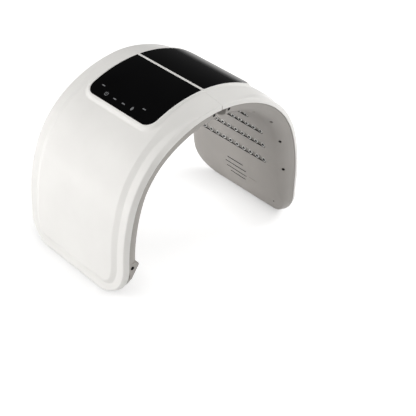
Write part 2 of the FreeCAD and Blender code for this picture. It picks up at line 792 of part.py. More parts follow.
def build_leds(label, turned):
    """Round domed lamps, one solid each, pointing inward from the floor."""
    radius = number("led_radius")
    lamp = Part.makeCylinder(radius, LED_RISE, Vector(0, 0, 0), Vector(0, 0, 1))
    lamp = lamp.fuse(Part.makeSphere(radius, Vector(0, 0, LED_RISE)))
    lamp = lamp.common(Part.makeCylinder(radius + 1, LED_RISE + radius + 1)).removeSplitter()
    solids = []
    for distance, half in ROWS:
        height = -thickness(distance).value + number("floor_thickness") + LED_BASE_LIFT
        gaps = int(round(2 * half / number("led_pitch")))
        for i in range(gaps + 1):
            point, normal, _ = frame_at(distance, -half + 2 * half * i / gaps, height)
            solids.append(placed(lamp, point, normal * -1, Vector(0, 1, 0)))
    keep_group(label, solids, turned)


# ---------------------------------------------------------------- screws
RECESS_WIDTH, RECESS_DEPTH = 0.7, 0.9  # cross recess


def screw_shape(kind):
    """Countersunk screw along -Z, head face at z = 0, cross recess."""
    head, shank = number(kind + "_head_radius"), number(kind + "_radius")
    head_height = head - shank + 0.2
    screw = Part.makeCone(head, shank, head_height, Vector(0, 0, 0), Vector(0, 0, -1))
    screw = screw.fuse(Part.makeCylinder(shank, number(kind + "_length") - head_height,
                                         Vector(0, 0, -head_height), Vector(0, 0, -1)))
    for angle in (0, 90):
        bar = Part.makeBox(head * 1.2, RECESS_WIDTH, RECESS_DEPTH,
                           Vector(-head * 0.6, -RECESS_WIDTH / 2, -RECESS_DEPTH))
        bar.rotate(Vector(0, 0, 0), Vector(0, 0, 1), angle)
        screw = screw.cut(bar)
    return screw.removeSplitter()


def build_cover_screws(label, turned):
    screw = screw_shape("cover_screw")
    solids = []
    for distance, y, depth in SCREW_PLACES:
        point, normal, tangent = frame_at(distance, y, -depth)
        solids.append(placed(screw, point, normal * -1, tangent))
    keep_group(label, solids, turned)


def build_leaf_screws(label, sign):
    screw = screw_shape("leaf_screw")
    keep_group(label, [placed(screw, Vector(sign * LEAF_SCREW_X, y, LEAF_BOTTOM.value - 1.7),
                              Vector(0, 0, -1), Vector(1, 0, 0)) for y in LEAF_SCREW_Y])


# ---------------------------------------------------------------- the hinge
TAB_REACH = 2.0         # knuckle tabs past the barrel; they overlap the plate
PLATE_GAP = 1.0         # plate from the barrel
PLATE_SHORTENING = 5.0  # plate shorter than the row of knuckles
PIN_INSET = 0.3
CAP_STEP = 0.3          # cap radius below the sleeve radius
CAP_ROUNDING = 0.9
BUSH_WALL = 1.2


def hinge_spans():
    """(start, end) in y, front to back: sleeve 0, knuckles 1 to 6, sleeve 7."""
    names = (["front_sleeve_length"] + ["knuckle_%d" % i for i in range(1, 7)]
             + ["rear_sleeve_length"])
    start = dim("hinge_front") + dim("cap_thickness")
    spans = []
    for name in names:
        end = start + dim(name)
        spans.append((start, end))
        start = end + dim("knuckle_gap")
    return spans


SPANS = hinge_spans()
PIN_BORE = dim("pin_radius") + dim("pin_clearance")


def build_leaf(label, sign, own):
    """Hinge leaf: its own knuckles on the pin line, tabs, and a plate with holes."""
    radius, plate = dim("barrel_radius"), dim("leaf_thickness")
    parts = []
    for i in own:
        start, end = SPANS[i]
        parts.append(cylinder("%s_knuckle_%d" % (label, i), radius, end - start,
                              (ZERO, start, HINGE_Z)))
        tab_x = ZERO if sign > 0 else -(radius + TAB_REACH)
        parts.append(box("%s_tab_%d" % (label, i), radius + TAB_REACH, end - start, plate,
                         (tab_x, start, LEAF_BOTTOM)))
    first, last = SPANS[1][0], SPANS[6][1]
    plate_x = radius + PLATE_GAP if sign > 0 else -dim("leaf_reach")
    parts.append(box(label + "_plate", dim("leaf_reach") - radius - PLATE_GAP,
                     last - first - PLATE_SHORTENING, plate, (plate_x, first, LEAF_BOTTOM)))
    blank = fuse(label + "_blank", parts)
    tools = [cylinder(label + "_bore", PIN_BORE, Size(300.0), (ZERO, Size(-150.0), HINGE_Z))]
    for i, y in enumerate(LEAF_SCREW_Y):
        tools.append(cylinder("%s_hole_%d" % (label, i), dim("leaf_screw_radius") + 0.2,
                              Size(20.0), (Size(sign * LEAF_SCREW_X), Size(y), LEAF_BOTTOM - 10),
                              UPRIGHT))
    keep(cut(label + "_cut", blank, fuse(label + "_holes", tools)), label)


def build_sleeve(label, span):
    """Hinge sleeve: a hollow barrel on the pin line."""
    start, end = SPANS[span]
    tube = cylinder(label + "_tube", dim("sleeve_radius"), end - start, (ZERO, start, HINGE_Z))
    bore = cylinder(label + "_bore", PIN_BORE, end - start + 20, (ZERO, start - 10, HINGE_Z))
    keep(cut(label + "_cut", tube, bore), label)


def build_cap(label, at_front):
    """Round end cap of the hinge with a softened outer rim."""
    body = new_body(label)
    radius, plate = dim("sleeve_radius") - CAP_STEP, dim("cap_thickness")
    y = SPANS[0][0] - plate if at_front else SPANS[7][1]
    profile = loop_sketch(body, label + "_sketch", "XY_Plane", [polygon(
        [(ZERO, y), (radius, y), (radius, y + plate), (ZERO, y + plate)])])
    turned = body.newObject("PartDesign::Revolution", label + "_turned")
    turned.Profile = profile
    turned.ReferenceAxis = (profile, ["V_Axis"])
    turned.Angle = 360.0
    rim_y = y.value if at_front else (y + plate).value
    fillet(body, label + "_rim", turned, Size(CAP_ROUNDING),
           lambda edge: abs(edge.Length - 2 * math.pi * radius.value) < 0.5
           and abs(edge.CenterOfMass.y - rim_y) < 0.05)
    body.Placement = Placement(Vector(0, 0, HINGE_Z.value), Rotation())
    bind(body, "Placement.Base.z", HINGE_Z)
    keep(body, label)


def build_pin():
    start, end = SPANS[0][0] + PIN_INSET, SPANS[7][1] - PIN_INSET
    keep(cylinder("hinge_pin_rod", dim("pin_radius"), end - start, (ZERO, start, HINGE_Z)),
         "hinge_pin")


def build_bush(label, sign):
    """Round bush with a dished front face."""
    x, y = dim("bush_at") * sign, -(dim("depth_top") / 2) + dim("bush_set_back")
    disc = cylinder(label + "_disc", dim("bush_radius"), dim("bush_length"), (x, y, BUSH_Z))
    dish = cylinder(label + "_dish", dim("bush_radius") - BUSH_WALL, Size(4.0),
                    (x, y - 3.2, BUSH_Z))
    keep(cut(label + "_cut", disc, dish), label)


# ---------------------------------------------------------------- electronics
BOARD_AT = 232.0        # distance of the flat boards' middle
BOARD_HEIGHT = -12.0
BOARD_HOLE_RADIUS = 1.6
BOARD_HOLE_INSET = 5.0
PART_HEIGHT = BOARD_HEIGHT + number("board_thickness") + 0.05
# wire bundles: distance and height of the bends, before the last point of each
WIRE_BENDS = [(30.0, -16.0), (70.0, -17.0), (110.0, -18.0), (150.0, -19.0)]
WIRE_END_HEIGHT = -19.0
WIRE_Y = 84.0


def build_jack():
    """Barrel power socket: body, contact hole and centre pin, facing the front."""
    point = jack_point()
    # the half turn is applied to the place
    x, y, z = Size(-point.x), Size(-point.y + 2.8), Size(point.z)
    length = dim("jack_length")
    shell = cylinder("jack_shell", dim("jack_radius"), length, (x, y, z))
    bore = cylinder("jack_bore", dim("jack_hole_radius"), length - 3.0, (x, y - 0.1, z))
    contact = cylinder("jack_contact", dim("jack_pin_radius"), length - 2.0, (x, y + 1.2, z))
    hollow = cut("jack_cut", shell, bore)
    keep(fuse("jack_joined", [hollow, contact]), "dc_power_jack")


def board_placement(height, turned):
    """Frame of a flat board: x along the rim tangent, y across, z outward."""
    point, normal, tangent = frame_at(BOARD_AT, 0.0, height)
    placement = Placement(point, Rotation(tangent, Vector(0, 0, 0), normal, "ZXY"))
    return HALF_TURN.multiply(placement) if turned else placement


def build_flat_board(label, length, width, turned):
    """Flat circuit board with four corner holes."""
    body = new_body(label)
    x, y = length / 2, width / 2
    outline = loop_sketch(body, label + "_sketch", "XY_Plane",
                          [polygon([(-x, -y), (x, -y), (x, y), (-x, y)])])
    extrude(body, "Pad", label + "_pad", outline, dim("board_thickness"), symmetric=False)
    inset = BOARD_HOLE_INSET
    holes = circle_sketch(body, label + "_hole_sketch",
                          [(x * i - inset * i, y * j - inset * j, Size(BOARD_HOLE_RADIUS))
                           for i in (-1, 1) for j in (-1, 1)])
    extrude(body, "Pocket", label + "_holes", holes, Size(20.0))
    body.Placement = board_placement(BOARD_HEIGHT, turned)
    keep(body, label)


def build_board_part(name, label, shape, turned):
    """A component drawn in the board's frame and set on the board."""
    part = shape.copy()
    part.Placement = board_placement(PART_HEIGHT, turned).multiply(part.Placement)
    keep(shape_object(name, part), label)


def build_board_parts():
    chip = Part.makeBox(14, 14, 1.8, Vector(-7, -7, 0))
    build_board_part("processor_block", "processor_chip", chip, True)
    buzzer = Part.makeCylinder(6.0, 7.0, Vector(30, 30, 0))
    buzzer = buzzer.cut(Part.makeCylinder(1.0, 3.0, Vector(30, 30, 5)))
    build_board_part("buzzer_can", "buzzer", buzzer, True)
    coil = Part.makeCylinder(7.0, 6.0, Vector(0, 20, 0))
    coil = coil.cut(Part.makeCylinder(2.0, 8.0, Vector(0, 20, -1)))
    build_board_part("coil_can", "driver_coil", coil, False)


def build_harness(label, y, end, turned):
    """Wire bundle: a round section swept along a bent path at one y."""
    body = new_body(label)
    path = new_sketch(body, label + "_path", "XZ_Plane")
    places = [frame_at(distance, y, height)[0]
              for distance, height in WIRE_BENDS + [(end, WIRE_END_HEIGHT)]]
    points = [Vector(place.x, place.z, 0) for place in places]
    runs = len(points) - 1
    for i in range(runs):
        path.addGeometry(Part.LineSegment(points[i], points[i + 1]), False)
    for i in range(runs - 1):
        path.addConstraint(Sketcher.Constraint("Coincident", i, 2, i + 1, 1))
    # profile plane: through the first point, square to the path
    heading = (points[1] - points[0]).normalize()
    angle = math.degrees(math.atan2(heading.x, heading.y))
    offset = Placement(Vector(points[0].x, 0, points[0].y), Rotation(Vector(0, 1, 0), angle))
    profile = new_sketch(body, label + "_profile", "XY_Plane", offset)
    radius = dim("wire_radius")
    profile.addGeometry(Part.Circle(Vector(0, 0, 0), Vector(0, 0, 1), radius.value), False)
    profile.addConstraint(Sketcher.Constraint("Coincident", 0, 3, -1, 1))
    fix_radius(profile, 0, radius)
    pipe = body.newObject("PartDesign::AdditivePipe", label + "_pipe")
    pipe.Profile = profile
    pipe.Spine = (path, ["Edge%d" % (i + 1) for i in range(runs)])
    pipe.Transition = "Round corner"
    placement = Placement(Vector(0, y, 0), Rotation())
    body.Placement = HALF_TURN.multiply(placement) if turned else placement
    keep(body, label)


# ---------------------------------------------------------------- build everything
for side, turned in (("right", False), ("left", True)):
    build_outer_cover(side, turned)
    build_inner_cover(side, turned)
    build_led_board(side + "_led_board", turned)
    build_leds(side + "_leds", turned)
    build_cover_screws(side + "_cover_screws", turned)
build_panel("right_panel", False)
build_panel("left_control_panel", True)
build_touch_sensor_board()

build_leaf("left_hinge_leaf", -1, (1, 3, 5))
build_leaf("right_hinge_leaf", +1, (2, 4, 6))
build_leaf_screws("left_hinge_screws", -1)
build_leaf_screws("right_hinge_screws", +1)
build_sleeve("front_hinge_sleeve", 0)
build_sleeve("rear_hinge_sleeve", 7)
build_cap("front_hinge_cap", True)
build_cap("rear_hinge_cap", False)
build_pin()
build_bush("left_hinge_bush", -1)
build_bush("right_hinge_bush", +1)

build_jack()
board_length, board_width = dim("control_board_length"), dim("control_board_width")
build_flat_board("main_control_board", board_length, board_width, True)
build_flat_board("led_driver_board", board_length * 0.7, board_width * 0.75, False)
build_board_parts()
# both bundles end up towards the back
build_harness("left_wire_harness", -WIRE_Y, 176.0, True)
build_harness("right_wire_harness", WIRE_Y, 190.0, False)

doc.recompute()

# ---------------------------------------------------------------- checks, export
problems = []
for obj in doc.Objects:
    bad = [state for state in obj.State if state in ("Invalid", "Error")]
    if bad:
        problems.append("%s (%s): %s" % (obj.Label, obj.Name, bad))
for obj, label in kept:
    shape = obj.Shape
    if shape.isNull() or not shape.isValid() or not shape.Solids or shape.Volume <= 0:
        problems.append("%s: null, invalid or empty shape" % label)
if problems:
    raise RuntimeError("not written: " + "; ".join(problems))
os.makedirs("parts", exist_ok=True)
for obj, label in kept:
    obj.Shape.exportStep("parts/%s.step" % label)
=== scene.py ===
"""A folding arch-shaped lamp, standing on its two feet and hinged at the crown.

The seam between the halves lies at x = 0, the arch spans X, Y runs from front (-Y) to
back, and the feet stand on z = 0.  Everything is drawn for the +X (right) half; the left
half is the same piece turned half a turn about Z.

Pieces are drawn in mm in the rim's own space: run goes along the rim curve from the seam
to the foot, y goes from front to back, rise is the height above the rim curve.
"""
import math

import bmesh
import bpy
import numpy as np
from mathutils import Matrix, Vector


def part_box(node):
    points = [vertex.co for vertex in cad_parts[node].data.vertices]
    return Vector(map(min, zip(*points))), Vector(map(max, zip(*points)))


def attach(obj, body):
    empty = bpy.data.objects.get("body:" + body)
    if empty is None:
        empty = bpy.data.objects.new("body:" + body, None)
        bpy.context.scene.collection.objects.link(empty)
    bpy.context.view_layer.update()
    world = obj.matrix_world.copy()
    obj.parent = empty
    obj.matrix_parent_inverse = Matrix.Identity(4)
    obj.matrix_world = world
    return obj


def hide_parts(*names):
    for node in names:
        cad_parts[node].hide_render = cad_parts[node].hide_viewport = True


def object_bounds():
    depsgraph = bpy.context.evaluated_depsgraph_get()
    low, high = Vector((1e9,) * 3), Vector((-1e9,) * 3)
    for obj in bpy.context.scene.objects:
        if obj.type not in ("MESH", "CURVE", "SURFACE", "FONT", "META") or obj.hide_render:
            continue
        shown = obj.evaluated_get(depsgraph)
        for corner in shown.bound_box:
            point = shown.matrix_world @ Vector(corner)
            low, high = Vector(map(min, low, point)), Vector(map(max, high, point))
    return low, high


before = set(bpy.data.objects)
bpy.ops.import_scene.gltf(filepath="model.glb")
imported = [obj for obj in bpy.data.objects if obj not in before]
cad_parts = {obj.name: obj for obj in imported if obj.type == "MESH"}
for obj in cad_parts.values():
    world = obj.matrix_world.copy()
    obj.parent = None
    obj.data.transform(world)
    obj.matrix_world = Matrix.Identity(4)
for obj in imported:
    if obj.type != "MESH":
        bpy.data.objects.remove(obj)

CAD_LO, CAD_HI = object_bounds()
MM = 0.001
scene = bpy.context.scene

# =====================================================================
# rim curve
# =====================================================================
COVER_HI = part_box("right_outer_cover")[1]
PAD_TOP = 8.2                           # top of the raised pad above the rim curve
TOP = COVER_HI.z / MM - PAD_TOP         # height of the rim curve at the seam
NOMINAL_TOP = 287.4158                  # that height for the unscaled arcs and leg
SCALE = TOP / NOMINAL_TOP
RADII = [radius * SCALE for radius in (210.0, 158.0, 294.0)]
TURNS = [29.0, 43.5, 17.5]              # degrees each arc bends, from the seam down
ENDS = np.cumsum([radius * math.radians(turn) for radius, turn in zip(RADII, TURNS)])
LENGTH = float(ENDS[-1] + 82.0 * SCALE)     # the arcs, then a straight leg
RIM_STEP, RIM_SPARE = 0.25, 120.0       # table spacing, and how far it overruns the rim

HALF_W_TOP = 118.0                      # half width at the seam
HALF_W_FOOT = max(COVER_HI.y / MM, 122.0)
FOOT_R, FOOT_R_WIDE = 45.0, 74.0        # foot corners: usual, and on the +Y side
CORNER_HALF_W = 122.5                   # half width at which the two corners are compared
FLAT_FOOT = 2.0                         # the last stretch may not dip below the ground


def bell(reach, step, width):
    """Normalised bell-shaped smoothing weights."""
    weights = np.exp(-0.5 * (np.arange(-reach, reach + step, step) / width) ** 2)
    return weights / weights.sum()


def running_integral(values):
    return np.concatenate([[0], np.cumsum((values[1:] + values[:-1]) / 2 * RIM_STEP)])


def rim_table():
    """Run, x, z and slope angle along the rim, with the arcs eased into each other."""
    run = np.arange(-RIM_SPARE, LENGTH + RIM_SPARE, RIM_STEP)
    reach = np.abs(run)
    bend = np.select([reach < end for end in ENDS], [1 / radius for radius in RADII], 0.0)
    bend = np.convolve(bend, bell(40, RIM_STEP, 11.0), mode="same")
    seam = int(round(RIM_SPARE / RIM_STEP))
    slope = running_integral(bend)
    slope -= slope[seam]
    x = running_integral(np.cos(slope))
    z = -running_integral(np.sin(slope))
    x -= x[seam]
    z += TOP - z[seam]
    # put the foot end exactly on the ground and at the rim's half span
    angles = np.radians(np.cumsum([0.0] + TURNS))
    half_span = sum(radius * (math.sin(end) - math.sin(start))
                    for radius, start, end in zip(RADII, angles, angles[1:]))
    x_end, z_end = np.interp(LENGTH, run, x), np.interp(LENGTH, run, z)
    share = np.clip(run / LENGTH, 0, 1)
    x += (half_span - x_end) * share
    z -= z_end * share
    return run, x, z, slope


RIM_RUN, RIM_X, RIM_Z, RIM_SLOPE = rim_table()


def corner_line(run, radius):
    """Half width left by a foot corner of this radius."""
    reach = np.clip(radius - (LENGTH - run), 0, radius)
    drop = radius - np.sqrt(np.maximum(radius * radius - reach * reach, 0.0))
    return CORNER_HALF_W - drop


def squeeze(run, y):
    """Draws the +Y side in, so that its foot corner is rounder than the one opposite."""
    ratio = corner_line(run, FOOT_R_WIDE) / corner_line(run, FOOT_R)
    return np.where(y > 0, y * np.clip(ratio, 0.3, 1.0), y)


def point_at(run, y, rise):
    """Rim space to x, y, z in mm."""
    run, y, rise = np.broadcast_arrays(*(np.asarray(q, float) for q in (run, y, rise)))
    y = squeeze(run, y)
    slope = np.interp(run, RIM_RUN, RIM_SLOPE)
    z = np.interp(run, RIM_RUN, RIM_Z) + rise * np.cos(slope)
    z = np.where(run > LENGTH - FLAT_FOOT, np.maximum(z, 0.0), z)
    return np.stack([np.interp(run, RIM_RUN, RIM_X) + rise * np.sin(slope), y, z], -1)


def outward(run):
    """Direction of rise."""
    slope = float(np.interp(run, RIM_RUN, RIM_SLOPE))
    return Vector((math.sin(slope), 0, math.cos(slope)))


def rim_frame(run, y, rise):
    """A point, and its axes along the curve, across it and outward."""
    normal = outward(run)
    along = Vector((normal.z, 0, -normal.x))
    return Vector(point_at(run, y, rise)), along, Vector((0, 1, 0)), normal


def half_width(run):
    share = np.clip(1 - np.interp(run, RIM_RUN, RIM_Z) / TOP, 0, 1)
    return HALF_W_TOP + (HALF_W_FOOT - HALF_W_TOP) * share


def smooth(share):
    share = np.clip(share, 0, 1)
    return share * share * (3 - 2 * share)


def mix(first, second, share):
    return first * (1 - share) + second * share


def edge(run, y, foot_end=True):
    """Distance in from the half's outline and its two round foot corners.

    Without foot_end the straight end of the foot doesn't count.
    """
    run, y = np.broadcast_arrays(np.asarray(run, float), np.asarray(y, float))
    side, end = half_width(run) - np.abs(y), LENGTH - run
    inset = np.minimum(side, end) if foot_end else side
    in_corner = (side < FOOT_R) & (end < FOOT_R)
    return np.where(in_corner, FOOT_R - np.hypot(FOOT_R - side, FOOT_R - end), inset)


# =====================================================================
# mesh helpers: a part is (vertices in mm, faces)
# =====================================================================
def shade(mesh, sharp_angle):
    mesh.shade_smooth()
    mesh.set_sharp_from_angle(angle=math.radians(sharp_angle))


def new_object(name, part, materials=(), turned=False, sharp_angle=35.0, slots=None):
    """Object from a part; slots gives the material slot of each face."""
    verts, faces = part
    points = np.asarray(verts, float) * MM
    if turned:
        points = points * np.array([-1.0, -1.0, 1.0])
    mesh = bpy.data.meshes.new(name)
    mesh.from_pydata([tuple(point) for point in points], [], faces)
    for material in materials:
        mesh.materials.append(material)
    if slots is not None:
        mesh.polygons.foreach_set("material_index", slots)
    mesh.validate(clean_customdata=False)
    edit = bmesh.new()
    edit.from_mesh(mesh)
    bmesh.ops.remove_doubles(edit, verts=edit.verts, dist=2e-7)
    bmesh.ops.recalc_face_normals(edit, faces=edit.faces)
    edit.to_mesh(mesh)
    edit.free()
    shade(mesh, sharp_angle)
    obj = bpy.data.objects.new(name, mesh)
    scene.collection.objects.link(obj)
    return obj


def merge(parts):
    """Joins parts into one."""
    verts, faces, base = [], [], 0
    for part_verts, part_faces in parts:
        part_verts = np.asarray(part_verts, float).reshape(-1, 3)
        verts.append(part_verts)
        faces += [[i + base for i in face] for face in part_faces]
        base += len(part_verts)
    return np.concatenate(verts), faces


def boolean(obj, tool, operation="DIFFERENCE"):
    """Applies an exact boolean to the object and removes the tool."""
    modifier = obj.modifiers.new("cut", "BOOLEAN")
    modifier.object, modifier.operation, modifier.solver = tool, operation, "EXACT"
    depsgraph = bpy.context.evaluated_depsgraph_get()
    mesh = bpy.data.meshes.new_from_object(obj.evaluated_get(depsgraph))
    obj.modifiers.remove(modifier)
    old = obj.data
    mesh.name = old.name + "_cut"
    obj.data = mesh
    bpy.data.meshes.remove(old)
    bpy.data.objects.remove(tool)


def stations(start, *spans):
    """Values from start through spans of (end, rough spacing), evenly spaced in each."""
    out = [start]
    for end, spacing in spans:
        count = max(1, int(round((end - start) / spacing)))
        out += [start + (end - start) * (i + 1) / count for i in range(count)]
        start = end
    return out


def plate_rows(lines, end, width, radius, inset, corner_steps, near=None):
    """Rows (run, half width, turn) of a plate's inner grid, drawn in by inset.

    The outline ends at end with two round corners; turn is the angle its normal has
    swung.  near = (start, radius, steps) rounds the first end too.
    """
    rows = []
    if near is not None:
        start, near_radius, near_steps = near
        first = start + near_radius
        reach = near_radius - inset
        for i in range(near_steps):
            turn = -math.pi / 2 + (math.pi / 2) * i / near_steps
            half = width(first) - near_radius + reach * math.cos(turn)
            rows.append((first + reach * math.sin(turn), half, turn))
        lines = [first] + [run for run in lines if run > first + 0.4]
    last = end - radius
    for run in [run for run in lines if run < last - 0.6] + [last]:
        rows.append((run, float(width(run)) - inset, 0.0))
    reach = radius - inset
    for i in range(1, corner_steps + 1):
        turn = math.pi / 2 * i / corner_steps
        run = last + reach * math.sin(turn)
        rows.append((run, float(width(run)) - radius + reach * math.cos(turn), turn))
    return np.array(rows)


def walk_round(rows, across, closed):
    """Grid cells round the outline, and their run, y and outward direction (run, y)."""
    last_row, last = len(rows) - 1, len(across) - 1
    cells = [(i, last) for i in range(last_row + 1)]
    cells += [(last_row, j) for j in range(last - 1, -1, -1)]
    cells += [(i, 0) for i in range(last_row - 1, -1, -1)]
    if closed:
        cells += [(0, j) for j in range(1, last)]
    walk = []
    for i, j in cells:
        run, half, turn = rows[i]
        if j in (0, last):
            out_run, out_y = math.sin(turn), math.cos(turn) * (1 if j else -1)
        else:
            out_run, out_y = (1.0 if i else -1.0), 0.0
        walk.append((run, half * across[j], out_run, out_y))
    return cells, np.array(walk).T


class Profile:
    """Rim section of a shell: points put from top to bottom, at an inset and a rise."""

    def __init__(self, grid_inset, walk):
        self.grid_inset = grid_inset
        self.run, self.y, self.out_run, self.out_y = walk
        self.offsets, self.rises = [], []

    def put(self, inset, rise):
        zero = 0 * self.run
        self.offsets.append(self.grid_inset - inset + zero)
        self.rises.append(rise + zero)

    def sample(self, surface, inset):
        offset = self.grid_inset - inset
        return surface(self.run + self.out_run * offset, self.y + self.out_y * offset)

    def ring(self, notch):
        """Points of the rim; notch sets the wall's ends back at the seam."""
        offset, rise = np.array(self.offsets), np.array(self.rises)
        back = np.zeros(offset.shape)
        deep = np.clip((-rise - 0.6) / 1.6, 0, 1) * np.clip((offset - 22.0) / 1.0, 0, 1)
        for end in (0, -1):
            back[:, end] = notch * deep[:, end]
        return point_at(self.run + self.out_run * offset + back,
                        self.y + self.out_y * offset, rise)


def grid_ids(rows, columns, first=0):
    return (first + np.arange(rows * columns)).reshape(rows, columns).tolist()


def build_shell(rows, across, top, under, grid_inset, profile, closed=False, notch=0.0):
    """Closed solid: an inner grid above and below, and a rim profile round it."""
    height, width = len(rows), len(across)
    run = np.repeat(rows[:, 0][:, None], width, 1)
    y = rows[:, 1][:, None] * np.asarray(across)[None, :]
    upper = grid_ids(height, width)
    lower = grid_ids(height, width, height * width)
    faces = []
    for i in range(height - 1):
        for j in range(width - 1):
            faces.append([upper[i][j], upper[i][j + 1], upper[i + 1][j + 1], upper[i + 1][j]])
            faces.append([lower[i][j], lower[i + 1][j], lower[i + 1][j + 1], lower[i][j + 1]])
    cells, walk = walk_round(rows, across, closed)
    rim = Profile(grid_inset, walk)
    profile(rim)
    ring = rim.ring(notch)
    ring_ids = grid_ids(ring.shape[0], ring.shape[1], 2 * height * width)
    columns = [[upper[i][j]] + [level[c] for level in ring_ids] + [lower[i][j]]
               for c, (i, j) in enumerate(cells)]
    for one, other in zip(columns, columns[1:] + (columns[:1] if closed else [])):
        for k in range(len(one) - 1):
            faces.append([one[k], other[k], other[k + 1], one[k + 1]])
    if not closed:
        for j in range(width - 1):
            faces.append([upper[0][j], lower[0][j], lower[0][j + 1], upper[0][j + 1]])
        faces.append(columns[0])
        faces.append(columns[-1][::-1])
    surfaces = (point_at(run, y, top(run, y)), point_at(run, y, under(run, y)), ring)
    return np.concatenate([points.reshape(-1, 3) for points in surfaces]), faces


def sweep(walk, section, near_squeeze):
    """Sweeps a closed (offset, rise) section round a closed outline.

    near_squeeze is the share by which it is narrowed along the first end.
    """
    run, y, out_run, out_y = walk
    offset, rise = (np.array(column)[:, None] for column in zip(*section))
    offset = offset * (1 - near_squeeze * np.clip(-out_run, 0, 1))
    verts = point_at(run + out_run * offset, y + out_y * offset, rise).reshape(-1, 3)
    levels, count = len(section), len(run)
    ids = grid_ids(levels, count)
    faces = []
    for i in range(count):
        j = (i + 1) % count
        for k in range(levels):
            above, below = ids[k], ids[(k + 1) % levels]
            faces.append([above[i], above[j], below[j], below[i]])
    return verts, faces


def lathe(profile, segments):
    """Solid turned about local Z from (radius, z) pairs.

    A profile that starts on the axis must end there; any other is closed into a ring.
    """
    verts, rings = [], []
    for radius, z in profile:
        count = 1 if radius < 1e-6 else segments
        rings.append(list(range(len(verts), len(verts) + count)))
        for i in range(count):
            angle = 2 * math.pi * i / segments
            verts.append((radius * math.cos(angle), radius * math.sin(angle), z))
    faces = []
    closing = rings[:1] if len(rings[0]) > 1 else []
    for low, high in zip(rings, rings[1:] + closing):
        for i in range(segments):
            j = (i + 1) % segments
            if len(low) == 1:
                faces.append([low[0], high[i], high[j]])
            elif len(high) == 1:
                faces.append([low[i], high[0], low[j]])
            else:
                faces.append([low[i], high[i], high[j], low[j]])
    return np.array(verts), faces


def rod(radius, length, segments):
    return lathe([(0, 0), (radius, 0), (radius, length), (0, length)], segments)


def place(part, origin, *axes):
    """Moves a part from local x, y, z to the given origin and axes."""
    verts, faces = part
    matrix = np.array([list(axis) for axis in axes], float)
    return np.asarray(verts, float) @ matrix + np.array(list(origin), float), faces


def extrude_polygon(points, z_low, z_high):
    count = len(points)
    verts = [(x, y, z) for z in (z_low, z_high) for x, y in points]
    faces = [list(range(count))[::-1], list(range(count, 2 * count))]
    for i in range(count):
        j = (i + 1) % count
        faces.append([i, j, count + j, count + i])
    return np.array(verts, float), faces


def stadium(half_length, radius, steps):
    """Round-ended bar along x."""
    points = []
    for side in (1, -1):
        for i in range(steps + 1):
            angle = -side * math.pi / 2 + math.pi * i / steps
            x = side * (half_length - radius) + radius * math.cos(angle)
            points.append((x, radius * math.sin(angle)))
    return points


# =====================================================================
# materials
# =====================================================================
def add_node(tree, kind, inputs=None, **settings):
    """New node; each input, by name or index, is linked to a socket or set to a value."""
    node = tree.nodes.new(kind)
    for key, value in settings.items():
        setattr(node, key, value)
    for key, value in (inputs or {}).items():
        feed(tree, node.inputs[key], value)
    return node


def feed(tree, socket, value):
    if hasattr(value, "is_output"):
        tree.links.new(value, socket)
    else:
        socket.default_value = value


def srgb(*color):
    """8-bit colour to linear RGBA."""
    def linear(value):
        value = value / 255.0
        return value / 12.92 if value <= 0.04045 else ((value + 0.055) / 1.055) ** 2.4
    return tuple(linear(value) for value in color) + (1.0,)


SOCKETS = {
    "base": "Base Color", "rough": "Roughness", "metal": "Metallic", "coat": "Coat Weight",
    "coat_rough": "Coat Roughness", "spec": "Specular IOR Level",
    "trans": "Transmission Weight", "ior": "IOR", "aniso": "Anisotropic",
}


class Surface:
    """A principled material; its textures are read in object coordinates, in metres."""

    def __init__(self, name):
        self.material = bpy.data.materials.new(name)
        self.material.use_nodes = True
        self.tree = self.material.node_tree
        self.shader = self.tree.nodes["Principled BSDF"]
        self.coordinates = self.add("ShaderNodeTexCoord").outputs["Object"]

    def add(self, kind, inputs=None, **settings):
        return add_node(self.tree, kind, inputs, **settings)

    def noise(self, scale, detail=4.0, rough=0.55, vector=None):
        return self.add("ShaderNodeTexNoise", {
            "Scale": scale, "Detail": detail, "Roughness": rough,
            "Vector": vector or self.coordinates}).outputs["Fac"]

    def voronoi(self, scale):
        return self.add("ShaderNodeTexVoronoi", {
            "Scale": scale, "Vector": self.coordinates}).outputs["Distance"]

    def stretched(self, **settings):
        """Object coordinates through a mapping (scale, rotation)."""
        inputs = {key.title(): value for key, value in settings.items()}
        inputs["Vector"] = self.coordinates
        return self.add("ShaderNodeMapping", inputs).outputs["Vector"]

    def remap(self, value, low, high, from_low=0.0, from_high=1.0):
        return self.add("ShaderNodeMapRange", {
            "From Min": from_low, "From Max": from_high, "To Min": low, "To Max": high,
            "Value": value}).outputs["Result"]

    def ramp(self, value, first, second, start=0.3, end=0.7):
        node = self.add("ShaderNodeValToRGB", {"Fac": value})
        stops = ((start, first), (end, second))
        for element, (position, color) in zip(node.color_ramp.elements, stops):
            element.position = position
            element.color = color
        return node.outputs["Color"]

    def math(self, operation, first, second):
        inputs = {0: first, 1: second}
        return self.add("ShaderNodeMath", inputs, operation=operation).outputs[0]

    def bump(self, height, strength, distance):
        node = self.add("ShaderNodeBump", {
            "Strength": strength, "Distance": distance, "Height": height})
        self.set_input("Normal", node.outputs["Normal"])

    def set_input(self, name, value):
        feed(self.tree, self.shader.inputs[name], value)

    def set(self, **values):
        for key, value in values.items():
            self.set_input(SOCKETS[key], value)


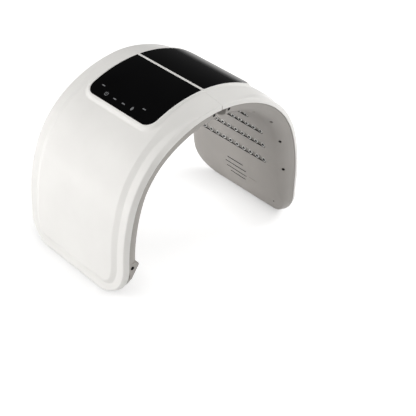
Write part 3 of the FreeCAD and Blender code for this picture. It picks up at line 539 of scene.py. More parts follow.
def shell_material():
    """White satin ABS: a faint cloudy tint, fine moulding texture, thin clear coat."""
    look = Surface("white_satin_plastic")
    look.set(base=look.ramp(look.noise(scale=14.0, detail=3.0),
                            first=(0.81, 0.800, 0.780, 1), second=(0.845, 0.836, 0.815, 1)))
    fine = look.noise(scale=900.0, detail=3.0)
    look.set(rough=look.remap(look.noise(scale=60.0), low=0.30, high=0.38),
             coat=0.25, coat_rough=0.12, spec=0.42)
    finest = look.noise(scale=2600.0, detail=2.0)
    look.bump(look.math("ADD", look.math("MULTIPLY", fine, 0.5), finest),
              strength=0.10, distance=0.00006)
    return look.material


def inner_material():
    """Grey ABS of the inner covers: fine spark texture, half gloss."""
    look = Surface("grey_inner_plastic")
    look.set(base=look.ramp(look.noise(scale=22.0), first=srgb(163, 159, 155),
                            second=srgb(170, 166, 162), start=0.25, end=0.75))
    grain = look.voronoi(scale=2200.0)
    fine = look.noise(scale=1500.0, detail=3.0)
    look.set(rough=look.remap(look.noise(scale=90.0), low=0.36, high=0.46),
             spec=0.5, coat=0.10, coat_rough=0.25)
    look.bump(look.math("ADD", look.math("MULTIPLY", grain, 0.6), fine),
              strength=0.22, distance=0.00008)
    return look.material


def panel_material():
    """Black glass-like acrylic: a clear hard surface with faint wiping marks."""
    look = Surface("black_gloss_acrylic")
    wipe = look.stretched(scale=(3.0, 26.0, 26.0), rotation=(0.0, 0.0, 0.6))
    smear = look.noise(scale=5.0, detail=5.0, rough=0.6, vector=wipe)
    look.set(base=look.ramp(look.noise(scale=9.0, detail=2.0),
                            first=(0.0022, 0.0022, 0.0024, 1),
                            second=(0.0036, 0.0036, 0.0039, 1)),
             rough=look.remap(smear, low=0.05, high=0.13), spec=0.07, coat=0.0,
             coat_rough=0.04)
    look.bump(look.noise(scale=7.0, detail=2.0), strength=0.05, distance=0.0004)
    return look.material


def print_material():
    """Light grey screen print, slightly uneven."""
    look = Surface("grey_screen_print")
    look.set(base=look.ramp(look.noise(scale=1800.0, detail=3.0),
                            first=srgb(108, 109, 112), second=srgb(128, 129, 131)),
             rough=0.45, spec=0.3)
    look.bump(look.noise(scale=3000.0, detail=2.0), strength=0.2, distance=0.00003)
    return look.material


def lens_material():
    """Clear epoxy of the lamps."""
    look = Surface("clear_lamp_epoxy")
    look.set(base=look.ramp(look.noise(scale=300.0, detail=2.0),
                            first=(0.10, 0.10, 0.105, 1), second=(0.15, 0.15, 0.155, 1)),
             rough=look.remap(look.noise(scale=700.0, detail=2.0), low=0.03, high=0.08),
             trans=0.5, ior=1.45, spec=0.5)
    return look.material


def board_material():
    """Green circuit board: solder mask over fine tracks, tinned pads."""
    look = Surface("circuit_board_green")
    tracks = look.add("ShaderNodeTexBrick", {
        "Scale": 190.0, "Mortar Size": 0.03, "Vector": look.coordinates,
        "Color1": (0.006, 0.055, 0.022, 1), "Color2": (0.008, 0.075, 0.030, 1),
        "Mortar": (0.02, 0.14, 0.06, 1)})
    pads = look.remap(look.voronoi(scale=420.0), low=1.0, high=0.0,
                      from_low=0.10, from_high=0.14)
    tinned = look.add("ShaderNodeMix", {
        "Factor": pads, "A": tracks.outputs["Color"], "B": (0.55, 0.56, 0.55, 1)},
        data_type="RGBA")
    look.set(base=tinned.outputs["Result"], coat=0.3,
             rough=look.remap(look.noise(scale=300.0), low=0.28, high=0.42))
    look.bump(tracks.outputs["Fac"], strength=0.2, distance=0.00005)
    return look.material


def plastic(name, dark, light, rough, grain=1500.0, strength=0.25):
    """Moulded plastic between two sRGB tints; grain is the scale of its texture."""
    look = Surface(name)
    look.set(base=look.ramp(look.noise(scale=120.0), first=srgb(*dark), second=srgb(*light)))
    look.set(rough=look.remap(look.noise(scale=260.0), low=rough[0], high=rough[1]), spec=0.5)
    fine = look.noise(scale=grain, detail=3.0)
    cells = look.math("MULTIPLY", look.voronoi(scale=grain * 1.6), 0.5)
    look.bump(look.math("ADD", fine, cells), strength=strength, distance=0.00008)
    return look.material


def steel(name, dark, light, rough):
    """Machined steel between two linear tints: drawn marks along Y and small blotches."""
    look = Surface(name)
    drawn = look.stretched(scale=(900.0, 20.0, 900.0))
    line = look.noise(scale=1.0, detail=3.0, rough=0.6, vector=drawn)
    look.set(base=look.ramp(look.noise(scale=220.0), first=dark, second=light), metal=1.0,
             rough=look.remap(line, low=rough[0], high=rough[1]), aniso=0.3)
    look.bump(line, strength=0.2, distance=0.00004)
    return look.material


SHELL = shell_material()
INNER = inner_material()
PANEL = panel_material()
PRINT = print_material()
LENS = lens_material()
BOARD = board_material()
HINGE = plastic("hinge_grey_nylon", (176, 177, 181), (190, 191, 194), rough=(0.34, 0.46))
SLEEVE = plastic("hinge_sleeve_dark", (66, 68, 74), (76, 78, 84), rough=(0.38, 0.5))
BLACK = plastic("black_nylon", (22, 22, 24), (32, 32, 34), rough=(0.36, 0.5), strength=0.3)
SOCKET = plastic("black_socket_plastic", (15, 15, 16), (24, 24, 25), rough=(0.3, 0.44))
EPOXY = plastic("black_component_epoxy", (24, 24, 26), (38, 38, 40), rough=(0.5, 0.65),
                grain=2500.0)
WIRE = plastic("wire_sheath_grey", (52, 54, 60), (70, 72, 78), rough=(0.4, 0.55), grain=900.0)
SCREW = steel("screw_steel_black_oxide", (0.05, 0.05, 0.053, 1), (0.09, 0.09, 0.095, 1),
              rough=(0.22, 0.38))
PIN = steel("pin_steel_bright", (0.50, 0.50, 0.51, 1), (0.62, 0.62, 0.63, 1),
            rough=(0.16, 0.30))
CUP = plastic("lamp_reflector_white", (244, 244, 242), (250, 250, 248), rough=(0.25, 0.35))
SLOT = plastic("light_slot_grey", (148, 145, 142), (158, 155, 151), rough=(0.45, 0.6))
# painted shade: the wall of each light slot nearest the foot is coloured near-black to stand
# in for its shadow
SLOT_FOOT_SHADE = plastic("light_slot_foot_wall_painted_shade", (50, 49, 48), (62, 61, 59), rough=(0.45, 0.6))
# painted shade: the cut walls of the holes, vents and seats are coloured near-black to stand
# in for the shade inside them
HOLE_SHADE = plastic("hole_wall_painted_shade", (26, 26, 26), (36, 36, 35), rough=(0.5, 0.65))
DIE = plastic("lamp_die_dark", (20, 20, 22), (46, 44, 38), rough=(0.3, 0.5))

# CAD pieces that keep their own mesh
KEPT_PIECES = (
    (BOARD, "touch_sensor_board main_control_board left_led_board right_led_board"
            " led_driver_board"),
    (EPOXY, "processor_chip buzzer driver_coil"),
    (SCREW, "left_cover_screws right_cover_screws left_hinge_screws right_hinge_screws"),
    (HINGE, "left_hinge_leaf right_hinge_leaf"),
    (PIN, "hinge_pin"),
    (SLEEVE, "front_hinge_sleeve rear_hinge_sleeve"),
    (BLACK, "front_hinge_cap rear_hinge_cap left_hinge_bush right_hinge_bush"),
    (SOCKET, "dc_power_jack"),
    (WIRE, "left_wire_harness right_wire_harness"),
)
for material, names in KEPT_PIECES:
    for name in names.split():
        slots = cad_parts[name].data.materials
        slots.clear()
        slots.append(material)

# bevel width of the kept pieces whose edges are softened
SOFT_EDGES = {
    "left_hinge_leaf": 0.45, "right_hinge_leaf": 0.45,
    "front_hinge_sleeve": 0.6, "rear_hinge_sleeve": 0.6,
    "left_hinge_bush": 0.35, "right_hinge_bush": 0.35, "dc_power_jack": 0.3,
}
for name, width in SOFT_EDGES.items():
    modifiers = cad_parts[name].modifiers
    modifiers.new("weld", "WELD").merge_threshold = 1e-5
    bevel = modifiers.new("soft_edges", "BEVEL")
    bevel.width = width * MM
    bevel.segments = 2
    bevel.limit_method = "ANGLE"
    bevel.angle_limit = math.radians(42)
    bevel.harden_normals = False

# =====================================================================
# white outer covers
# =====================================================================
PAD_END, PAD_HALF_W, PAD_R = 109.1, 77.7, 19.9      # raised pad: far end, half width, corner
PAD_RIM, PAD_FLOOR = 8.0, 6.2           # rise of its edge, and of the recess inside it
SKIN_BLEND = 132.0                      # run over which the seam's shape becomes the leg's
SLOPE_OUT_LEG = 18.5                    # inset where the sloping border starts on the leg
SLOPE_IN_SEAM, SLOPE_IN_LEG = 40.4, 30.0            # inset where it ends
CREST_SEAM, CREST_LEG = 6.4, 4.0        # rise it reaches
CROWN = 0.25                            # extra swell of the leg
SKIN_THICK = 2.3
BAY_UNDER = 5.38                        # rise of the underside in the bay below the pad
LEAN, LEAN_PLUS_Y = 2.2, 5.2            # how far the edge wall leans in, and on +Y
LEAN_RUN = 125.0                        # run over which the lean grows
EDGE_ROUND = 1.9                        # rounding of the rim's upper edge
WALL_FOOT = -6.9                        # rise of the leaning wall's foot
SHELL_INSET = 25.0                      # inset of the cover's inner grid

PANEL_START, PANEL_END = 2.2, 106.2
PANEL_HALF_W, PANEL_R = 74.8, 17.0
PANEL_TOP, PANEL_UNDER = 7.9, 6.4
PANEL_INSET = 1.2
LIP_GAP = 0.25                          # between the panel and the white lip round it
LIP_START = 2.0
LIP = 2.65                              # width of the lip
LIP_SECTION = [                         # (offset outward, rise)
    (0.0, 5.7), (0.0, 7.55), (0.05, 7.85), (0.2, 8.08), (0.5, 8.19), (1.2, 8.22),
    (1.9, 8.19), (2.3, 8.08), (2.55, 7.85), (LIP, 7.4), (LIP, 5.7)]

SHELL_LINES = stations(0.12, (3.6, 0.87), (30, 3.8), (37, 1.4), (87, 3.6), (104, 1.4),
                       (118, 0.7), (150, 2.6), (353, 3.4))
HALF_ACROSS = stations(0, (56, 4.3), (73.6, 1.5), (81.0, 0.55), (93.0, 1.0))
SHELL_ACROSS = np.array([-y for y in reversed(HALF_ACROSS[1:])] + HALF_ACROSS) / 93.0


def soft_line(share, ease):
    """Straight ramp from 0 to 1 whose two ends are rounded over a share ease."""
    middle = (share - ease / 2) / (1 - ease)
    low = share * share / (2 * ease * (1 - ease))
    high = 1 - (1 - share) ** 2 / (2 * ease * (1 - ease))
    return np.where(share < ease, low, np.where(share > 1 - ease, high, middle))


def pad_distance(run, y):
    """Signed distance outside the pad's outline."""
    past_end, past_side = run - (PAD_END - PAD_R), np.abs(y) - (PAD_HALF_W - PAD_R)
    outside = np.hypot(np.maximum(past_end, 0), np.maximum(past_side, 0))
    return outside + np.minimum(np.maximum(past_end, past_side), 0) - PAD_R


def skin_base(run, y):
    """Rise of the cover without its pad."""
    inset = edge(run, y)
    leg = smooth(run / SKIN_BLEND)
    start = SLOPE_OUT_LEG * leg
    end = mix(SLOPE_IN_SEAM, SLOPE_IN_LEG, leg)
    share = np.clip((inset - start) / (end - start), 0, 1)
    slope = mix(share * (1.18 - 0.18 * share), soft_line(share, ease=0.16), leg)
    return mix(CREST_SEAM, CREST_LEG, leg) * slope + CROWN * leg * smooth((inset - 30) / 60.0)


def skin(run, y):
    """Rise of the cover's upper surface."""
    base = skin_base(run, y)
    distance = pad_distance(run, y)
    flank = 1.3 + 5.6 * smooth((run - 34.0) / 66.0)
    rise = base + (PAD_RIM - base) * smooth(1 - distance / flank)
    return mix(rise, PAD_FLOOR, smooth((-0.8 - distance) / 1.3))


def skin_under(run, y):
    rise = np.minimum(skin(run, y), PAD_FLOOR) - SKIN_THICK
    bay = (smooth((run - 34.0) / 0.8) * smooth((101.0 - run) / 0.8)
           * smooth((68.0 - np.abs(y)) / 0.8))
    return mix(rise, BAY_UNDER, bay)


def outer_profile(rim):
    grown = smooth(rim.run / LEAN_RUN)
    lean = np.where(rim.y > 0, LEAN_PLUS_Y, LEAN) * grown
    lean = lean + (LEAN * grown - lean) * np.clip(np.abs(rim.out_run), 0, 1)
    first = lean + EDGE_ROUND
    for share in np.linspace(1, 0, 23):
        inset = first + (24.0 - first) * share
        rim.put(inset, rim.sample(skin, inset))
    # rounded upper edge, bent round the corner where the top meets the wall
    crest = rim.sample(skin, first)
    corner = lean + 0.1
    wall_in, wall_down = 0.05 - corner, WALL_FOOT - crest
    wall = np.hypot(wall_in, wall_down)
    wall_inset = corner + wall_in / wall * EDGE_ROUND
    wall_rise = crest + wall_down / wall * EDGE_ROUND
    for q in (0.12, 0.25, 0.38, 0.5, 0.62, 0.75, 0.88, 1.0):
        rim.put((1 - q) ** 2 * first + 2 * q * (1 - q) * corner + q * q * wall_inset,
                (1 - q) ** 2 * crest + 2 * q * (1 - q) * crest + q * q * wall_rise)
    # the leaning wall, its rounded foot and the underside
    for share in (0.4, 0.75):
        rim.put(wall_inset + (0.05 - wall_inset) * share,
                wall_rise + (WALL_FOOT - wall_rise) * share)
    for inset, rise in ((0.05, WALL_FOOT), (-0.12, -7.05), (-0.3, -7.2), (-0.34, -7.5),
                        (-0.2, -7.85), (0.15, -8.0), (1.2, -8.0), (2.4, -8.0)):
        rim.put(inset, rise)
    for rise in (-6.0, -4.0, -2.2):
        rim.put(2.5 + lean * np.clip((rise - WALL_FOOT) / (crest - WALL_FOOT), 0, 1), rise)
    for plain in (2.6, 4.5, 8, 11, 13, 15, 17, 19, 21, 23):
        inset = plain + 0.95 * lean * (1 - (plain - 2.6) / 20.4)
        rim.put(inset, rim.sample(skin_under, inset) - (0.3 if plain < 3 else 0.0))


def panel_lip():
    """White lip that stands round the panel."""
    end = PANEL_END + LIP_GAP
    rows = plate_rows(stations(LIP_START, (end, 3.6)), end, lambda run: PANEL_HALF_W + LIP_GAP,
                      PANEL_R + LIP_GAP, inset=0.0, corner_steps=22, near=(LIP_START, 1.3, 5))
    walk = walk_round(rows, stations(-1, (1, 0.05)), closed=True)[1]
    return sweep(walk, LIP_SECTION, near_squeeze=0.37)


def seam_wall():
    """Thin closed wall across the half beside the seam."""
    reach = HALF_W_TOP - 2.4
    y = np.linspace(-reach, reach, 41)
    top = skin_base(np.array(2.0), y) - 0.9
    count = len(y)
    verts = [point_at(run, y, rise) for run in (0.3, 1.9) for rise in (top, -8.6)]
    near_top, near_low, far_top, far_low = (i * count for i in range(4))
    faces = []
    for i in range(count - 1):
        for one, other in ((near_top, near_low), (far_low, far_top)):
            quad = [one + i, one + i + 1, other + i + 1, other + i]
            if one == far_low:
                quad = [other + i, one + i, one + i + 1, other + i + 1]
            faces.append(quad)
        faces.append([near_top + i, far_top + i, far_top + i + 1, near_top + i + 1])
        faces.append([near_low + i, near_low + i + 1, far_low + i + 1, far_low + i])
    last = count - 1
    faces.append([near_top, near_low, far_low, far_top])
    faces.append([near_top + last, far_top + last, far_low + last, near_low + last])
    return np.concatenate(verts), faces


def outer_cover(name, turned):
    rows = plate_rows(SHELL_LINES, LENGTH, half_width, FOOT_R, SHELL_INSET, corner_steps=18)
    shell = build_shell(rows, SHELL_ACROSS, skin, skin_under, SHELL_INSET, outer_profile,
                        notch=0.75)
    part = merge([shell, panel_lip(), seam_wall()])
    return new_object(name, part, [SHELL], turned, sharp_angle=40.0)


# =====================================================================
# glossy panels
# =====================================================================
def panel_profile(rim):
    for inset, rise in ((0.75, PANEL_TOP), (0.4, 7.86), (0.15, 7.72), (0.0, 7.45),
                        (0.0, 6.55), (0.15, PANEL_UNDER), (0.8, PANEL_UNDER)):
        rim.put(inset, rise)


def panel(name, turned):
    rows = plate_rows(stations(PANEL_START, (PANEL_END, 3.4)), PANEL_END,
                      lambda run: PANEL_HALF_W, PANEL_R, PANEL_INSET, corner_steps=18,
                      near=(PANEL_START, 1.5, 3))
    part = build_shell(rows, stations(-1, (1, 0.06)), lambda run, y: PANEL_TOP + 0 * run,
                       lambda run, y: PANEL_UNDER + 0 * run, PANEL_INSET, panel_profile,
                       closed=True)
    return new_object(name, part, [PANEL], turned, sharp_angle=50.0)


# =====================================================================
# grey inner covers: their visible surface
# =====================================================================
# (run, depth from the rim curve to the floor)
THICKNESS = (
    (-60.0, 26.0), (0.0, 26.0), (ENDS[0] * 0.5, 28.2), (ENDS[0], 31.2),
    ((ENDS[0] + ENDS[1]) / 2, 34.4), (ENDS[1], 36.6), ((ENDS[1] + ENDS[2]) / 2, 36.0),
    (ENDS[2], 34.6), (LENGTH, 34.6), (LENGTH + 60, 34.6))
THICK_STEP, THICK_REACH = 0.5, 45
THICK_RUN = np.arange(-60.0, LENGTH + 60.0, THICK_STEP)
THICK_SMOOTH = np.convolve(
    np.pad(np.interp(THICK_RUN, *zip(*THICKNESS)), int(THICK_REACH / THICK_STEP), mode="edge"),
    bell(THICK_REACH, THICK_STEP, 15.0), mode="valid")

PARTING = -9.3                          # rise of the inner cover's upper edge
PARTING_PLUS_Y_START = -8.4             # the same on the -Y side
FOOT_ROUND = 100.0                      # run over which the floor rounds up to the foot
WALL_INSET = 1.5                        # inset of the side wall
SIDE_ROUND, SIDE_ROUND_SOFT = 24.5, 33.0    # width of the side round-over, usual and soft
INNER_START = 10.6
INNER_INSET = 27.0                      # inset of the cover's inner grid
INNER_THICK = 3.2
FLANGE = -10.5                          # highest rise of the hidden side


def foot_factor(run):
    """1 up the leg, falling in a round-over to 0 at the foot."""
    share = np.clip((LENGTH - np.asarray(run, float)) / FOOT_ROUND, 0, 1)
    return np.maximum(0.0, 1 - (1 - share) ** 2) ** 0.8


def soft_side(run, y):
    """1 on the +Y side of the leg, where the shoulder is softer, else 0."""
    run, y = np.asarray(run, float), np.asarray(y, float)
    return smooth((y + 30.0) / 60.0) * smooth((run - 60.0) / 150.0)


def floor_thickness(run):
    return np.interp(run, THICK_RUN, THICK_SMOOTH)


def wall_height(run, y):
    """Straight part of the side wall under the parting line."""
    share = (floor_thickness(run) - 8.7) / 28.1
    return 0.7 + 7.2 * share * foot_factor(run) * (1 - 0.78 * soft_side(run, y))


def depth(run, y):
    """Rim curve to the visible inner surface."""
    run, y = np.broadcast_arrays(np.asarray(run, float), np.asarray(y, float))
    width = SIDE_ROUND + (SIDE_ROUND_SOFT - SIDE_ROUND) * soft_side(run, y)
    share = np.clip((edge(run, y, foot_end=False) - WALL_INSET) / width, 0, 1)
    side = np.minimum(1.0, 1.02 * np.sqrt(np.maximum(0, 1 - (1 - share) ** 2)))
    foot = foot_factor(run)
    # soft minimum of the two round-overs
    ease = 0.06
    blend = np.clip(0.5 + 0.5 * (foot - side) / ease, 0, 1)
    full = mix(foot, side, blend) - ease * blend * (1 - blend)
    full = np.clip(np.where((side > 0.999) & (foot > 0.999), 1.0, full), 0, 1)
    wall = wall_height(run, y)
    return -PARTING + wall + (floor_thickness(run) + PARTING - wall) * full


def inner_under(run, y):
    return -depth(run, y)


def inner_top(run, y):
    """Hidden side of the inner cover, with a flat strip at its upper end."""
    return np.where(run < 13.7, -14.0, -np.maximum(depth(run, y) - INNER_THICK, -FLANGE))


def inner_profile(rim):
    part = PARTING_PLUS_Y_START + (PARTING - PARTING_PLUS_Y_START) * smooth((rim.y + 15) / 30)
    base = inner_top(rim.run, rim.y)
    for inset, rise in (
            (26.6, base + 0.3 * (FLANGE - base)), (26.3, base + 0.8 * (FLANGE - base)),
            (26.0, np.maximum(base, FLANGE)), (3.6, -10.4), (3.2, -8.3), (1.9, -8.2),
            (1.7, part + 0.1), (1.35, part), (1.0, part - 0.1), (0.75, part - 0.35),
            (0.6, part - 0.65)):
        rim.put(inset, rise)
    wall = wall_height(rim.run + rim.out_run * INNER_INSET, rim.y)
    for share in (0.35, 0.62, 0.85):
        rim.put(0.6 + (WALL_INSET - 0.6) * share ** 1.6,
                part - 0.65 + (PARTING - wall - part + 0.65) * share)
    rim.put(WALL_INSET, PARTING - wall)
    for angle in (7, 14, 21, 28, 35, 42, 49, 56, 63, 70, 76, 82, 88):
        inset = WALL_INSET + SIDE_ROUND * (1 - math.cos(math.radians(angle)))
        rim.put(inset, rim.sample(inner_under, inset))


# =====================================================================
# grey inner covers: holes and housing
# =====================================================================
def turned_piece(name):
    """Centre x and z, and radius, in mm, of a CAD piece turned about Y."""
    low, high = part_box(name)
    return (low.x + high.x) / 2 / MM, (low.z + high.z) / 2 / MM, (high.x - low.x) / 2 / MM


LAMP_ROWS = [(288.0, 73.0, 10), (251.0, 73.0, 10),      # run, half length, lamps
             (213.5, 73.0, 10), (178.0, 48.6, 7)]
SLOT_HALF_W, SLOT_DEPTH, SLOT_SPARE = 4.6, 2.3, 5.6
VENTS = [(330.0, 17.0, -22.0), (340.5, 22.0, -30.0),    # run, y from, y to
         (350.5, 20.0, -30.5), (359.0, 11.0, -27.0)]
SHALLOW_SLIT = (348.0, -36.0, -55.5)    # on the right half only
VENT_HALF_W, VENT_DEPTH, SLIT_DEPTH = 0.85, 12.0, 0.7
SCREW_WELLS = [(92.0, 9.0, 13.0), (158.0, 9.0, 15.0),   # run, inset, depth of the bottom
               (223.0, 9.0, 15.0), (291.0, 8.5, 13.5)]
WELL_R = 2.5
PIECE_GAP = 0.12                        # between a CAD piece and its seat
BUSH_X, BUSH_Z, BUSH_R = turned_piece("right_hinge_bush")
JACK_X, JACK_Z, JACK_R = turned_piece("dc_power_jack")
JACK_LO, JACK_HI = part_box("dc_power_jack")
# where the leg passes the jack's height
JACK_RUN = float(RIM_RUN[np.argmin(np.abs(RIM_Z - JACK_Z) + 1e3 * (RIM_RUN < 200))])
HOUSING_LENGTH = 25.0
HOUSING_OUTLINE = [                     # (along the curve from the jack, rise)
    (-8.6, -9.6), (20.0, -9.6), (21.0, -13.0), (-2.4, -28.0), (-6.4, -25.6)]


def floor_point(run, y):
    return Vector(point_at(run, y, -float(depth(run, y))))


def facing_in(normal, run):
    """Turns a floor normal away from the rim curve."""
    return -normal if normal.dot(outward(run)) > 0 else normal


def floor_frame(run, y):
    """On the visible floor: a point, and axes along y, along the curve, out of the floor."""
    point = floor_point(run, y)
    along = (floor_point(run + 1.0, y) - point).normalized()
    across = Vector((0, 1, 0))
    return point, across, along, facing_in(across.cross(along).normalized(), run)


def drill(radius, segments, run, y, bottom):
    """Round hole through the floor, from its bottom at that depth."""
    point, along, across, normal = rim_frame(run, y, -bottom)
    return place(rod(radius, 40.0, segments), point, along, -across, -normal)


def slit(run, start, end, cut_depth):
    outline = stadium(abs(end - start) / 2, VENT_HALF_W, 6)
    return place(extrude_polygon(outline, -cut_depth, 6.0),
                 *floor_frame(run, (start + end) / 2))


def screw_places():
    for run, inset, bottom in SCREW_WELLS:
        for side in (-1, 1):
            yield run, side * (float(half_width(run)) - inset), bottom


def inner_cutters(turned):
    """All that is cut out of the inner cover, and the cover's slot for each cut face.

    Slots: 0 the cover's plastic, 1 light slot, 2 hole wall in near-black painted shade, 3 slot
    wall nearest the foot in dark painted shade.
    """
    parts, slots = [], []

    def cut(part, slot):
        parts.append(part)
        slots.extend([slot] * len(part[1]))

    for run, half, _ in LAMP_ROWS:
        outline = stadium(half + SLOT_SPARE, SLOT_HALF_W, 12)
        prism = extrude_polygon(outline, -SLOT_DEPTH, 6.0)
        parts.append(place(prism, *floor_frame(run, 0.0)))
        slots += [1, 1]
        for (_, here), (_, after) in zip(outline, outline[1:] + outline[:1]):
            # side faces nearest the foot get slot 3, the dark painted shade of the slot's foot
            # wall
            slots.append(3 if (here + after) / 2 > 0.55 * SLOT_HALF_W else 1)
    # the cover is turned after cutting, so -1 keeps a feature on its own side in y
    side = -1.0 if turned else 1.0
    # the vents, wells and seats below get slot 2, near-black painted shade on their walls
    for run, start, end in VENTS:
        cut(slit(run, side * start, side * end, VENT_DEPTH), 2)
    if not turned:
        cut(slit(*SHALLOW_SLIT, SLIT_DEPTH), 0)
    for run, y, bottom in screw_places():
        cut(drill(WELL_R, 28, run, y, bottom), 2)
    if not turned:
        # small hole near the foot
        cut(drill(1.3, 18, 371.0, -94.0, 12.5), 2)
    # seat of the small black bush in the front corner
    bush_origin = Vector((BUSH_X, -side * (HALF_W_TOP + 0.6), BUSH_Z))
    cut(place(rod(BUSH_R + PIECE_GAP, 11.0, 28), bush_origin,
              (1, 0, 0), (0, 0, side), (0, side, 0)), 2)
    if turned:
        # bore of the power jack, with a smaller mouth towards +Y before the turn
        length = (JACK_HI.y - JACK_LO.y) / MM + 3.0
        bore, shoulder, mouth = JACK_R + PIECE_GAP, length + 0.04, 3.15
        tool = lathe([(0, 0), (bore, 0), (bore, shoulder), (mouth, shoulder),
                      (mouth, length + 12.0), (0, length + 12.0)], 36)
        cut(place(tool, Vector((-JACK_X, -JACK_LO.y / MM - length, JACK_Z)),
                  (1, 0, 0), (0, 0, -1), (0, 1, 0)), 2)
    return merge(parts), slots


def well_mouths():
    """Shallow cones that open the screw wells, square to the surface there."""
    cone = lathe([(0, -1.3), (2.2, -1.3), (4.3, 0.7), (0, 0.7)], 28)
    cones = []
    for run, y, _ in screw_places():
        point = floor_point(run, y)
        along = (floor_point(run + 0.6, y) - point).normalized()
        across = (floor_point(run, y + 0.6) - point).normalized()
        normal = facing_in(along.cross(across).normalized(), run)
        cones.append(place(cone, point, along, normal.cross(along).normalized(), normal))
    return merge(cones)


def round_polygon(points, radius, steps=5):
    out, count = [], len(points)
    for i in range(count):
        before, corner, after = (np.array(points[(i + d) % count], float) for d in (-1, 0, 1))
        back, ahead = before - corner, after - corner
        back_length, ahead_length = np.linalg.norm(back), np.linalg.norm(ahead)
        back, ahead = back / back_length, ahead / ahead_length
        angle = math.acos(max(-1, min(1, float(np.dot(back, ahead)))))
        trim = min(radius / math.tan(angle / 2), back_length * 0.45, ahead_length * 0.45)
        start, end = corner + back * trim, corner + ahead * trim
        for k in range(steps + 1):
            q = k / steps
            out.append(tuple((1 - q) ** 2 * start + 2 * q * (1 - q) * corner + q * q * end))
    return out


def draw_in(points, distance):
    """Polygon with every corner moved inward along its two edges' normals."""
    points = np.array(points, float)
    centre = points.mean(0)
    out = []
    for i, corner in enumerate(points):
        normals = []
        for start, end in ((points[i - 1], corner), (corner, points[(i + 1) % len(points)])):
            x, y = (end - start) / np.linalg.norm(end - start)
            normals.append(np.array([-y, x]))
        if np.dot(normals[0], centre - corner) < 0:
            normals = [-normal for normal in normals]
        inward = normals[0] + normals[1]
        out.append(corner + inward / (np.dot(inward, inward) / 2) * distance)
    return out


def bevelled_prism(points, length, bevel_width):
    """Prism from z = 0 with a rounded edge round its far end."""
    rings = [(0.0, 0.0)]
    for degrees in (0, 20, 40, 60, 75, 90):
        angle = math.radians(degrees)
        rings.append((bevel_width * (1 - math.cos(angle)),
                      length - bevel_width + bevel_width * math.sin(angle)))
    verts = [(x, y, z) for inset, z in rings for x, y in draw_in(points, inset)]
    count = len(points)
    ids = grid_ids(len(rings), count)
    faces = []
    for low, high in zip(ids, ids[1:]):
        for i in range(count):
            j = (i + 1) % count
            faces.append([low[i], low[j], high[j], high[i]])
    faces.append(ids[0][::-1])
    faces.append(ids[-1])
    return np.array(verts), faces


def jack_housing():
    """Housing round the power jack, at the +Y edge before the half is turned."""
    y = float(half_width(JACK_RUN)) - HOUSING_LENGTH
    point, along, across, normal = rim_frame(JACK_RUN, y, 0.0)
    prism = bevelled_prism(round_polygon(HOUSING_OUTLINE, 2.0), HOUSING_LENGTH - 0.7, 1.0)
    return place(prism, point, along, normal, across)


def inner_cover(name, turned):
    lines = stations(INNER_START, (13.4, 0.9), (14.0, 0.6), (353.0, 3.2))
    rows = plate_rows(lines, LENGTH, half_width, FOOT_R, INNER_INSET, corner_steps=14)
    part = build_shell(rows, stations(-1, (1, 0.04)), inner_top, inner_under, INNER_INSET,
                       inner_profile)
    # the last two materials are painted shade: near-black hole walls and dark slot walls
    # nearest the foot
    obj = new_object(name, part, [INNER, SLOT, HOLE_SHADE, SLOT_FOOT_SHADE])
    if turned:
        boolean(obj, new_object("housing_tmp", jack_housing()), "UNION")
    # tools carry empty slots, so that their faces keep the cover's slot numbers
    cutters, slots = inner_cutters(turned)
    boolean(obj, new_object("cutter_tmp", cutters, [None] * 4, slots=slots))
    boolean(obj, new_object("mouths_tmp", well_mouths(), [None]))
    if turned:
        obj.data.transform(Matrix.Rotation(math.pi, 4, "Z"))
    shade(obj.data, 33.0)
    return obj


# =====================================================================
# lamps: (radius, height) profiles above the slot's floor
# =====================================================================
LENS_R, LENS_BASE = 2.5, 0.9            # dome radius, height where the dome starts
LENS_PROFILE = (
    [(0.0, 0.0), (2.6, 0.0), (2.6, 0.3), (LENS_R, 0.4), (LENS_R, LENS_BASE)]
    + [(LENS_R * math.cos(math.radians(angle)),
        LENS_BASE + LENS_R * math.sin(math.radians(angle))) for angle in range(10, 90, 10)]
    + [(0.0, LENS_BASE + LENS_R)])
COLLAR_PROFILE = [
    (4.15, -0.3), (4.1, 0.9), (3.95, 1.75), (3.65, 2.15), (3.3, 2.2), (3.05, 1.9),
    (2.85, 1.0), (2.72, 0.1), (2.72, -0.3)]
DIE_PROFILE = [(0.0, -0.45), (2.6, -0.45), (2.6, -0.08), (1.5, -0.04), (0.0, -0.04)]


def lamps(prefix, turned):
    """The half's lenses, collars and dies, each as one object."""
    seats = []
    for run, half, count in LAMP_ROWS:
        for i in range(count):
            y = -half + 2 * half * i / (count - 1)
            point, across, along, normal = floor_frame(run, y)
            seats.append((point - normal * (SLOT_DEPTH - 0.02), across, along, normal))
    out = []
    for suffix, profile, segments, material in (
            ("_lamp_lenses", LENS_PROFILE, 20, LENS),
            ("_lamp_collars", COLLAR_PROFILE, 22, CUP),
            ("_lamp_dies", DIE_PROFILE, 16, DIE)):
        one = lathe(profile, segments)
        part = merge([place(one, *seat) for seat in seats])
        out.append(new_object(prefix + suffix, part, [material], turned, sharp_angle=50.0))
    return out


# =====================================================================
# marks printed on the left panel
# =====================================================================
PRINT_LEVELS = (PANEL_TOP + 0.06, PANEL_TOP - 0.02)     # top and underside of the print
DASHES = [(86.1, -54.1), (95.5, -16.4), (94.9, 3.6), (85.4, 41.2)]     # run, y
POWER_MARK = (95.1, -36.4)
POWER_OUTER_R, POWER_INNER_R = 3.6, 2.5
OVAL_MARK = (94.5, 23.2)


def flat_patch(outline, run, y):
    """An outline of (y, run) points laid on the panel round a place."""
    count = len(outline)
    verts = [point_at(run + b, y + a, rise) for rise in PRINT_LEVELS for a, b in outline]
    faces = [list(range(count)), list(range(count, 2 * count))[::-1]]
    for i in range(count):
        j = (i + 1) % count
        faces.append([i, count + i, count + j, j])
    return np.array(verts), faces


